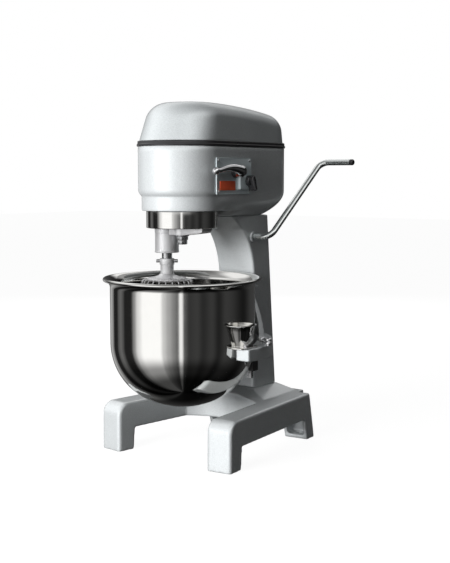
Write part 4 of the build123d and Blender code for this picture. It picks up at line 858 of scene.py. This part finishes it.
screw_head = [(7.4, 269.9), (7.4, 270.8)] + arc((4.4, 270.8), 3.0, 0, 90, 6) + [(0.01, 273.9)]
screw_shape = [(0.01, 236), (3.9, 236), (3.9, 269.9)] + screw_head
piece("clamp_screws_finished", *join_parts([
    turned(screw_shape, (CLAMP_X, CLAMP_BEHIND, 0), steps=32),
    turned(screw_shape, (-CLAMP_X, CLAMP_BEHIND, 0), steps=32)]), "clamp_screws", sharp=40)

guide_parts = []
for sign in (-1, 1):
    corners = rounded_loop([(-6.6, -10.4, 1.5), (6.6, -10.4, 1.5), (6.6, 10.4, 1.5), (-6.6, 10.4, 1.5)], 4)
    guide_parts.append(prism(corners, place(sign * 59.3, 183, 170), Z_DIR, X_DIR, Y_DIR,
                             [(1.2, 0.0), (0.3, 0.4), (0.0, 1.4), (0.0, 57.9)]))
piece("guide_blocks_finished", *join_parts(guide_parts), "guide_blocks", sharp=40)

# ------------------------------------------------------------------------------------------ lift lever
LIFT_BEHIND, LIFT_Z, LIFT_ARM_X, GRIP_BEHIND, GRIP_Z = 190.6, 481.0, 100.0, 403.0, 652.0
# the bar is turned down where it passes through the bush and the crank
lever_path = bent_path([
    place(57.4, LIFT_BEHIND, LIFT_Z), place(LIFT_ARM_X, LIFT_BEHIND, LIFT_Z),
    place(LIFT_ARM_X, GRIP_BEHIND, GRIP_Z), place(182, GRIP_BEHIND, GRIP_Z)], 22 * MM, 14)
lever_seat = [place(x, LIFT_BEHIND, LIFT_Z) for x in (8, 56.0, 56.6)]
lever_radii = [5.98 * MM, 5.98 * MM, 6.6 * MM] + [7.1 * MM] * len(lever_path)
piece("lift_lever_finished", *tube(lever_seat + lever_path, lever_radii, 36), "lift_lever", sharp=50,
      material=BAR_CHROME)
cap = rounded([(0.01, 0, 0), (7.0, 0, 0.3), (7.15, 0.8, 0.3), (7.15, 6.6, 2.2), (5.2, 9.0, 1.8),
               (0.01, 9.0, 0)], 5)
piece("lever_end_cap_finished", *turned(cap, (182, GRIP_BEHIND, GRIP_Z), "X", 36), "lever_end_cap", sharp=40)
bush = rounded([
    (6.05, -10.8, 0), (9.4, -10.8, 0.5), (9.4, 0.0, 0), (11.9, 0.0, 0), (11.9, 1.6, 1.0), (10.6, 2.9, 1.2),
    (6.5, 3.0, 0.5),
    (6.05, 2.4, 0), (6.05, -10.8, 0)], 4)
piece("lever_bush_finished", *turned(bush, (52, LIFT_BEHIND, LIFT_Z), "X", 40), "lever_bush", sharp=40)

# ------------------------------------------------------------------------------------------ controls
PLATE_X, PLATE_FACE = 96.0, 99.0


def on_side(points, x, behind, z, profile):
    """A rounded plate lying against the head's right side; outline is (behind, z), heights run along +X."""
    return prism(points, place(x, behind, z), X_DIR, Y_DIR, Z_DIR, profile)


def box_outline(width, height, radius, steps=6):
    w, h = width / 2, height / 2
    return rounded_loop([(-w, -h, radius), (w, -h, radius), (w, h, radius), (-w, h, radius)], steps)


# the plate: a raised rim round a slightly sunken field
plate_part = on_side(box_outline(124, 79, 3.2), PLATE_X, 58, 619.5, [
    (0.4, 0.0), (0.0, 0.4), (0.0, 2.1), (0.25, 2.7), (0.9, 2.98), (1.7, 2.98), (2.1, 2.7), (2.5, 2.6)])
piece("control_plate_finished", *plate_part, "control_plate", sharp=35)
screw_parts = []
for behind, z in ((3, 653), (113, 653), (3, 586), (113, 586)):
    head_shape = [(0.01, 0), (3.5, 0), (3.6, 0.6)] + arc((2.4, 0.6), 1.2, 0, 90, 4)
    slot_floor = [(2.2, 1.3), (0.9, 1.0), (0.01, 1.0)]
    screw_parts.append(turned(head_shape + slot_floor, (PLATE_FACE - 0.4, behind, z), "X", 28))
    for angle in (25, 115):
        bar = [(-2.0, -0.35), (2.0, -0.35), (2.0, 0.35), (-2.0, 0.35)]
        a = radians(angle + behind)
        spun = [(p * cos(a) - q * sin(a), p * sin(a) + q * cos(a)) for p, q in bar]
        screw_parts.append(on_side(spun, PLATE_FACE + 0.9, behind, z, [(0.0, 0.0), (0.0, 0.25), (0.1, 0.3)]))
piece("control_plate_screws_finished", *join_parts(screw_parts), "control_plate_screws", sharp=40)

label_profile = [(0.0, -0.4), (0.0, 0.3), (0.15, 0.5), (0.4, 0.55)]
piece("label_plate_finished", *on_side(box_outline(54, 20, 2.0), PLATE_FACE, 34.5, 599, label_profile),
      "label_plate", sharp=35)

box_profile = [(0.0, -0.4), (0.0, 3.6), (0.4, 5.0), (1.2, 5.8), (2.2, 6.0)]
escutcheon = on_side(box_outline(48, 30, 3.0), PLATE_FACE, 95, 605, box_profile)
inner_box = on_side(box_outline(30, 20, 2.0), PLATE_X - 19.4, 95, 603, [(0.6, 0.0), (0.0, 0.6), (0.0, 21.0)])
piece("switch_box_finished", *join_parts([escutcheon, inner_box]), "switch_box", sharp=40)

KNOB_FACE = PLATE_FACE + 6.4
dial = turned(rounded([(0.01, 0, 0), (11.0, 0, 0.3), (11.5, 0.6, 0.5), (11.3, 6.6, 1.6), (9.4, 8.8, 1.4),
                       (0.01, 9.0, 0)], 5),
              (KNOB_FACE, 100, 609), "X", 48)
pointer = []
for i in range(13):
    a = pi / 2 + pi * i / 12
    pointer.append((13.0 * cos(a) * 0.45 - 12.0, 5.6 * sin(a)))
for i in range(13):
    a = -pi / 2 + pi * i / 12
    pointer.append((18.0 + 4.3 * cos(a) - 4.3 + 0.2, 4.3 * sin(a)))
lean = radians(-72)
pointer = [(1.5 + p * cos(lean) - q * sin(lean), -4.5 + p * sin(lean) + q * cos(lean)) for p, q in pointer]
wing = on_side(pointer, KNOB_FACE, 100, 609, [
    (0.0, 0.3), (0.0, 6.0), (0.3, 12.0), (0.7, 15.6), (1.3, 17.4), (2.2, 18.6), (3.2, 18.95)])
stem = turned([(0.01, -15.0), (2.9, -15.0), (2.9, 1.0), (0.01, 1.0)], (KNOB_FACE, 100, 609), "X", 24)
piece("switch_knob_finished", *join_parts([dial, wing, stem]), "switch_knob", sharp=40)

LEVER_BEHIND, LEVER_Z, LEVER_ARM_X, BALL_BEHIND = 60.0, 630.0, 118.0, -31.0
boss_shape = rounded([
    (5.06, 0.0, 0), (7.8, 0.0, 0.2), (7.8, 3.0, 0), (13.9, 3.0, 0), (14.0, 4.0, 0.6), (14.0, 7.6, 1.4),
    (12.0, 9.7, 1.8),
    (6.4, 9.8, 0.6), (5.06, 9.0, 0), (5.06, 0.0, 0)], 4)
piece("gear_lever_boss_finished", *turned(boss_shape, (PLATE_X, LEVER_BEHIND, LEVER_Z), "X", 48),
      "gear_lever_boss", sharp=40)
lever_hub = rounded([
    (0.01, 0, 0), (4.9, 0, 0), (4.9, 44.3, 0), (12.6, 44.3, 0.6), (13.5, 45.6, 0.8), (13.5, 57.0, 6.0),
    (8.0, 64.2, 6.0),
    (0.01, 64.3, 0)], 7)
horn_line = [(56, 1.6, 11.0), (50, 3.1, 10.6), (44, 4.6, 10.1), (36, 6.1, 9.4), (28, 7.0, 8.6),
             (20, 7.2, 7.8), (12, 6.7, 7.1),
             (4, 5.8, 6.4), (-4, 4.3, 5.8), (-12, 2.4, 5.2), (-19, 1.1, 4.9), (-26, 0.3, 4.7)]
horn_rings = []
for k, (along, rise, radius) in enumerate(horn_line):
    before, after = horn_line[max(0, k - 1)], horn_line[min(len(horn_line) - 1, k + 1)]
    run = Vector((0, after[0] - before[0], after[1] - before[1])).normalized()
    upward = X_DIR.cross(run)
    middle = place(LEVER_ARM_X, along, LEVER_Z + rise)
    horn_rings.append([middle + (X_DIR * cos(2 * pi * i / 36) + upward * sin(2 * pi * i / 36)) * (radius * MM)
                       for i in range(36)])
piece("gear_lever_finished", *join_parts([
    turned(lever_hub, (62, LEVER_BEHIND, LEVER_Z), "X", 56), skin(horn_rings)]), "gear_lever", sharp=40)
ball_centre = (LEVER_ARM_X, BALL_BEHIND, LEVER_Z)
ball_shape = [(8.1 * cos(radians(a)) if abs(a) < 90 else 0.01, 8.1 * sin(radians(a))) for a in range(-90,
                                                                                                     91, 6)]
piece("gear_lever_knob_finished", *turned(ball_shape, ball_centre, "Y", 40), "gear_lever_knob", sharp=50)

# ------------------------------------------------------------------------------------------ back of the machine
gland = rounded([
    (4.0, -12.0, 0), (6.9, -12.0, 0.5), (6.9, 0.2, 0), (9.0, 0.2, 0), (9.0, 7.0, 0), (8.9, 12.0, 0.8),
    (8.4, 18.0, 1.5),
    (6.2, 20.0, 1.2), (4.6, 20.0, 0.5), (4.0, 19.4, 0), (4.0, -12.0, 0)], 4)
piece("cable_gland_finished", *join_parts([
    turned(gland, (-50, 285.5, 640), "Y", 40),
    prism(hexagon(12.0), place(-50, 285.6, 640), Y_DIR, Z_DIR, X_DIR,
          [(1.2, 0.0), (0.0, 0.6), (0.0, 6.0), (1.2, 6.9)])]), "cable_gland", sharp=35)

REAR_LEAN = (285.0 - 251.0) / (NECK_TOP - 126.0)
rear_origin = place(0, 285.0 - REAR_LEAN * (320 - 126.0), 320)
rear_out = Vector((0, 1, REAR_LEAN)).normalized()
rear_across = Vector((-1, 0, 0))
rear_up = rear_out.cross(rear_across)
cover_sheet = prism(box_outline(88, 308, 8, 8), rear_origin + rear_out * (0.1 * MM), rear_out, rear_across,
                    rear_up, [
    (0.3, 0.0), (0.0, 0.3), (0.0, 1.6), (0.3, 2.4), (1.1, 2.95), (2.0, 3.0)])
piece("column_back_cover_finished", *cover_sheet, "column_back_cover", sharp=35)
rear_screws = []
for x in (-38, 38):
    for up in (-148, 148):
        spot = rear_origin + rear_across * (x * MM) + rear_up * (up * MM)
        rear_screws.append(prism(disc_outline(1.9, 24), spot - rear_out * (6 * MM), rear_out, rear_across,
                                 rear_up,
                                 [(0.3, 0.0), (0.0, 0.4), (0.0, 9.2)]))
        rear_screws.append(prism(disc_outline(4.5, 32), spot + rear_out * (3.1 * MM), rear_out, rear_across,
                                 rear_up,
                                 [(0.0, 0.0), (0.0, 0.7), (0.3, 1.4), (1.0, 1.9), (1.9, 2.15), (2.3, 2.2),
                                  (2.35, 1.1), (3.0, 1.0)]))
piece("column_cover_screws_finished", *join_parts(rear_screws), "column_cover_screws", sharp=35)

way_parts = []
for x in (-44, 44):
    corners = box_outline(14.9, 8.9, 0.8, 3)
    way_parts.append(prism(corners, place(x, 189.5, 150), Z_DIR, X_DIR, Y_DIR,
                           [(0.6, 0.0), (0.0, 0.6), (0.0, 232.2), (0.6, 232.8)]))
piece("slide_ways_finished", *join_parts(way_parts), "slide_ways", sharp=35)

# ------------------------------------------------------------------------------------------ studio
floor_size = 12.0
floor_mesh = bpy.data.meshes.new("studio_floor")
floor_mesh.from_pydata([(-floor_size, -floor_size, 0), (floor_size, -floor_size, 0),
                        (floor_size, floor_size, 0),
                        (-floor_size, floor_size, 0)], [], [(0, 1, 2, 3)])
floor = bpy.data.objects.new("studio_floor", floor_mesh)
bpy.context.scene.collection.objects.link(floor)
floor.visible_glossy = False
floor.visible_diffuse = False
floor_shader = Shader("studio_floor_pale")
floor_shader.fixed(Base_Color=(0.10, 0.10, 0.10, 1), Roughness=0.9, Specular_IOR_Level=0.1)
floor_mesh.materials.append(floor_shader.material)
glow = floor_shader.node("ShaderNodeEmission")
glow.inputs["Color"].default_value = (1, 1, 1, 1)
glow.inputs["Strength"].default_value = 0.94
both = floor_shader.node("ShaderNodeAddShader")
paths = floor_shader.node("ShaderNodeLightPath")
seen = floor_shader.node("ShaderNodeMixShader")
dark_floor = floor_shader.node("ShaderNodeBsdfDiffuse")
dark_floor.inputs["Color"].default_value = (0.20, 0.20, 0.20, 1)
floor_shader.tree.links.new(floor_shader.bsdf.outputs[0], both.inputs[0])
floor_shader.tree.links.new(glow.outputs[0], both.inputs[1])
floor_shader.tree.links.new(paths.outputs["Is Camera Ray"], seen.inputs[0])
floor_shader.tree.links.new(dark_floor.outputs[0], seen.inputs[1])
floor_shader.tree.links.new(both.outputs[0], seen.inputs[2])
floor_shader.tree.links.new(seen.outputs[0], floor_shader.out.inputs["Surface"])

world = bpy.data.worlds.new("studio")
bpy.context.scene.world = world
world.use_nodes = True
wt = world.node_tree
wt.nodes.clear()


def wnode(kind, **props):
    made = wt.nodes.new(kind)
    for key, value in props.items():
        setattr(made, key, value)
    return made


def wmath(operation, a, b=None, clamp=False):
    made = wnode("ShaderNodeMath", operation=operation, use_clamp=clamp)
    for i, value in enumerate((a, b)):
        if value is None:
            continue
        if isinstance(value, (int, float)):
            made.inputs[i].default_value = value
        else:
            wt.links.new(value, made.inputs[i])
    return made.outputs[0]


coords = wnode("ShaderNodeTexCoord")
split = wnode("ShaderNodeSeparateXYZ")
wt.links.new(coords.outputs["Generated"], split.inputs[0])
dx, dy, dz = split.outputs
# bearing is 0 at -Y and grows towards +X; 0..1 over the full turn starting at +Y
bearing_turn = wmath("DIVIDE", wmath("ARCTAN2", dx, wmath("MULTIPLY", dy, -1.0)), 2 * pi)
bearing_share = wmath("ADD", bearing_turn, 0.5)
around = wnode("ShaderNodeValToRGB")
wt.links.new(bearing_share, around.inputs[0])
around.color_ramp.interpolation = "EASE"
stops = [
    (-180, 0.05), (-150, 0.06), (-128, 0.10), (-114, 0.50), (-104, 0.30), (-97, 0.02), (-86, 0.02),
    (-80, 0.13),
    (-74, 0.17), (-68, 0.10), (-63, 0.02), (-48, 0.02), (-42, 0.32), (-34, 0.95), (-24, 1.35), (4, 1.35),
    (10, 0.78),
    (18, 0.50), (27, 0.28), (31, 0.18), (33, 0.20), (35.5, 1.2), (38.5, 1.2), (42, 0.13), (50, 0.045),
    (62, 0.055),
    (72, 0.03), (86, 0.05), (98, 0.02), (112, 0.05), (150, 0.012), (180, 0.05)]
set_stops(around.color_ramp, [((bearing_deg + 180) / 360, (level / 2,) * 3) for bearing_deg, level in stops])
height = wnode("ShaderNodeValToRGB")
wt.links.new(wmath("ADD", wmath("MULTIPLY", dz, 0.5), 0.5), height.inputs[0])
height.color_ramp.interpolation = "EASE"
set_stops(height.color_ramp, [(0.05, (0.05, 0.05, 0.05)), (0.17, (0.25, 0.25, 0.25)),
                               (0.36, (1.0, 1.0, 1.0))])
softbox = wnode("ShaderNodeValToRGB")
wt.links.new(bearing_share, softbox.inputs[0])
softbox.color_ramp.interpolation = "EASE"
set_stops(softbox.color_ramp, [((bearing_deg + 180) / 360, (level / 3,) * 3) for bearing_deg, level in [
    (-180, 0.02), (-140, 0.06), (-105, 0.25), (-80, 0.5), (-62, 0.8), (-20, 1.1), (42, 1.2), (58, 0.8),
    (74, 0.2),
    (90, 0.03), (130, 0.0), (162, 0.0), (180, 0.02)]])


def eased(value, low, high):
    """0 below low and 1 above high, or the other way round if low is the larger."""
    made = wnode("ShaderNodeMapRange", interpolation_type="SMOOTHSTEP")
    made.inputs["From Min"].default_value = min(low, high)
    made.inputs["From Max"].default_value = max(low, high)
    made.inputs["To Min"].default_value = 0.0 if low < high else 1.0
    made.inputs["To Max"].default_value = 1.0 if low < high else 0.0
    wt.links.new(value, made.inputs["Value"])
    return made.outputs[0]


def blended(share, a, b):
    """a where share is 0 and b where it is 1."""
    return wmath("ADD", wmath("MULTIPLY", a, wmath("SUBTRACT", 1.0, share)), wmath("MULTIPLY", b, share))


ring_light = wmath("MULTIPLY", wmath("MULTIPLY", around.outputs[0], 2.0), height.outputs[0])
front_light = wmath("MULTIPLY", softbox.outputs[0], 3.0)
# a high lamp over the right shoulder, which the bright bars pick up
shoulder = wmath("MULTIPLY", eased(bearing_turn, 0.36, 0.28), eased(bearing_turn, 0.06, 0.16))
left_wall = wmath("MULTIPLY", eased(bearing_turn, -0.10, -0.18), 0.7)
high_light = wmath("ADD", wmath("ADD", wmath("MULTIPLY", shoulder, 0.9), left_wall), 0.42)
low_sky = blended(eased(dz, 0.02, 0.14), ring_light, front_light)
sky = blended(eased(dz, 0.72, 0.95), blended(eased(dz, 0.32, 0.50), low_sky, high_light), 0.18)
background = wnode("ShaderNodeBackground")
# painted faces take their evenly spread light from the key lamp, with only a little from the sky
ray = wnode("ShaderNodeLightPath")
wt.links.new(blended(ray.outputs["Is Diffuse Ray"], sky, 0.035), background.inputs["Strength"])
background.inputs["Color"].default_value = (1.0, 1.0, 1.0, 1)
white = wnode("ShaderNodeBackground")
white.inputs["Color"].default_value = (1, 1, 1, 1)
white.inputs["Strength"].default_value = 1.0
choose = wnode("ShaderNodeMixShader")
wt.links.new(ray.outputs["Is Camera Ray"], choose.inputs[0])
wt.links.new(background.outputs[0], choose.inputs[1])
wt.links.new(white.outputs[0], choose.inputs[2])
world_out = wnode("ShaderNodeOutputWorld")
wt.links.new(choose.outputs[0], world_out.inputs[0])


def soft_light(name, at, target, size, power, colour=(1, 1, 1)):
    data = bpy.data.lights.new(name, "AREA")
    data.shape = "RECTANGLE"
    data.size, data.size_y = size
    data.energy = power
    data.color = colour
    lamp = bpy.data.objects.new(name, data)
    lamp.location = at
    lamp.rotation_euler = (Vector(target) - Vector(at)).to_track_quat("-Z", "Y").to_euler()
    lamp.visible_camera = False
    lamp.visible_glossy = False
    bpy.context.scene.collection.objects.link(lamp)
    return lamp


soft_light("key_front", (-0.25, -2.65, 0.72), (0, 0, 0.36), (1.6, 0.9), 186)
soft_light("fill_back_left", (-1.7, 2.1, 1.3), (0, 0, 0.4), (1.3, 1.3), 34)

camera_data = bpy.data.cameras.new("camera")
camera_data.lens = 67.94
camera_data.sensor_width = 36.0
camera_data.clip_end = 60.0
camera = bpy.data.objects.new("camera", camera_data)
camera.location = (1.49723, -1.90217, 0.62004)
camera.rotation_euler = (radians(90 - 5.68), 0, radians(37.70))
bpy.context.scene.collection.objects.link(camera)
bpy.context.scene.camera = camera
bpy.context.scene.view_settings.view_transform = "Standard"
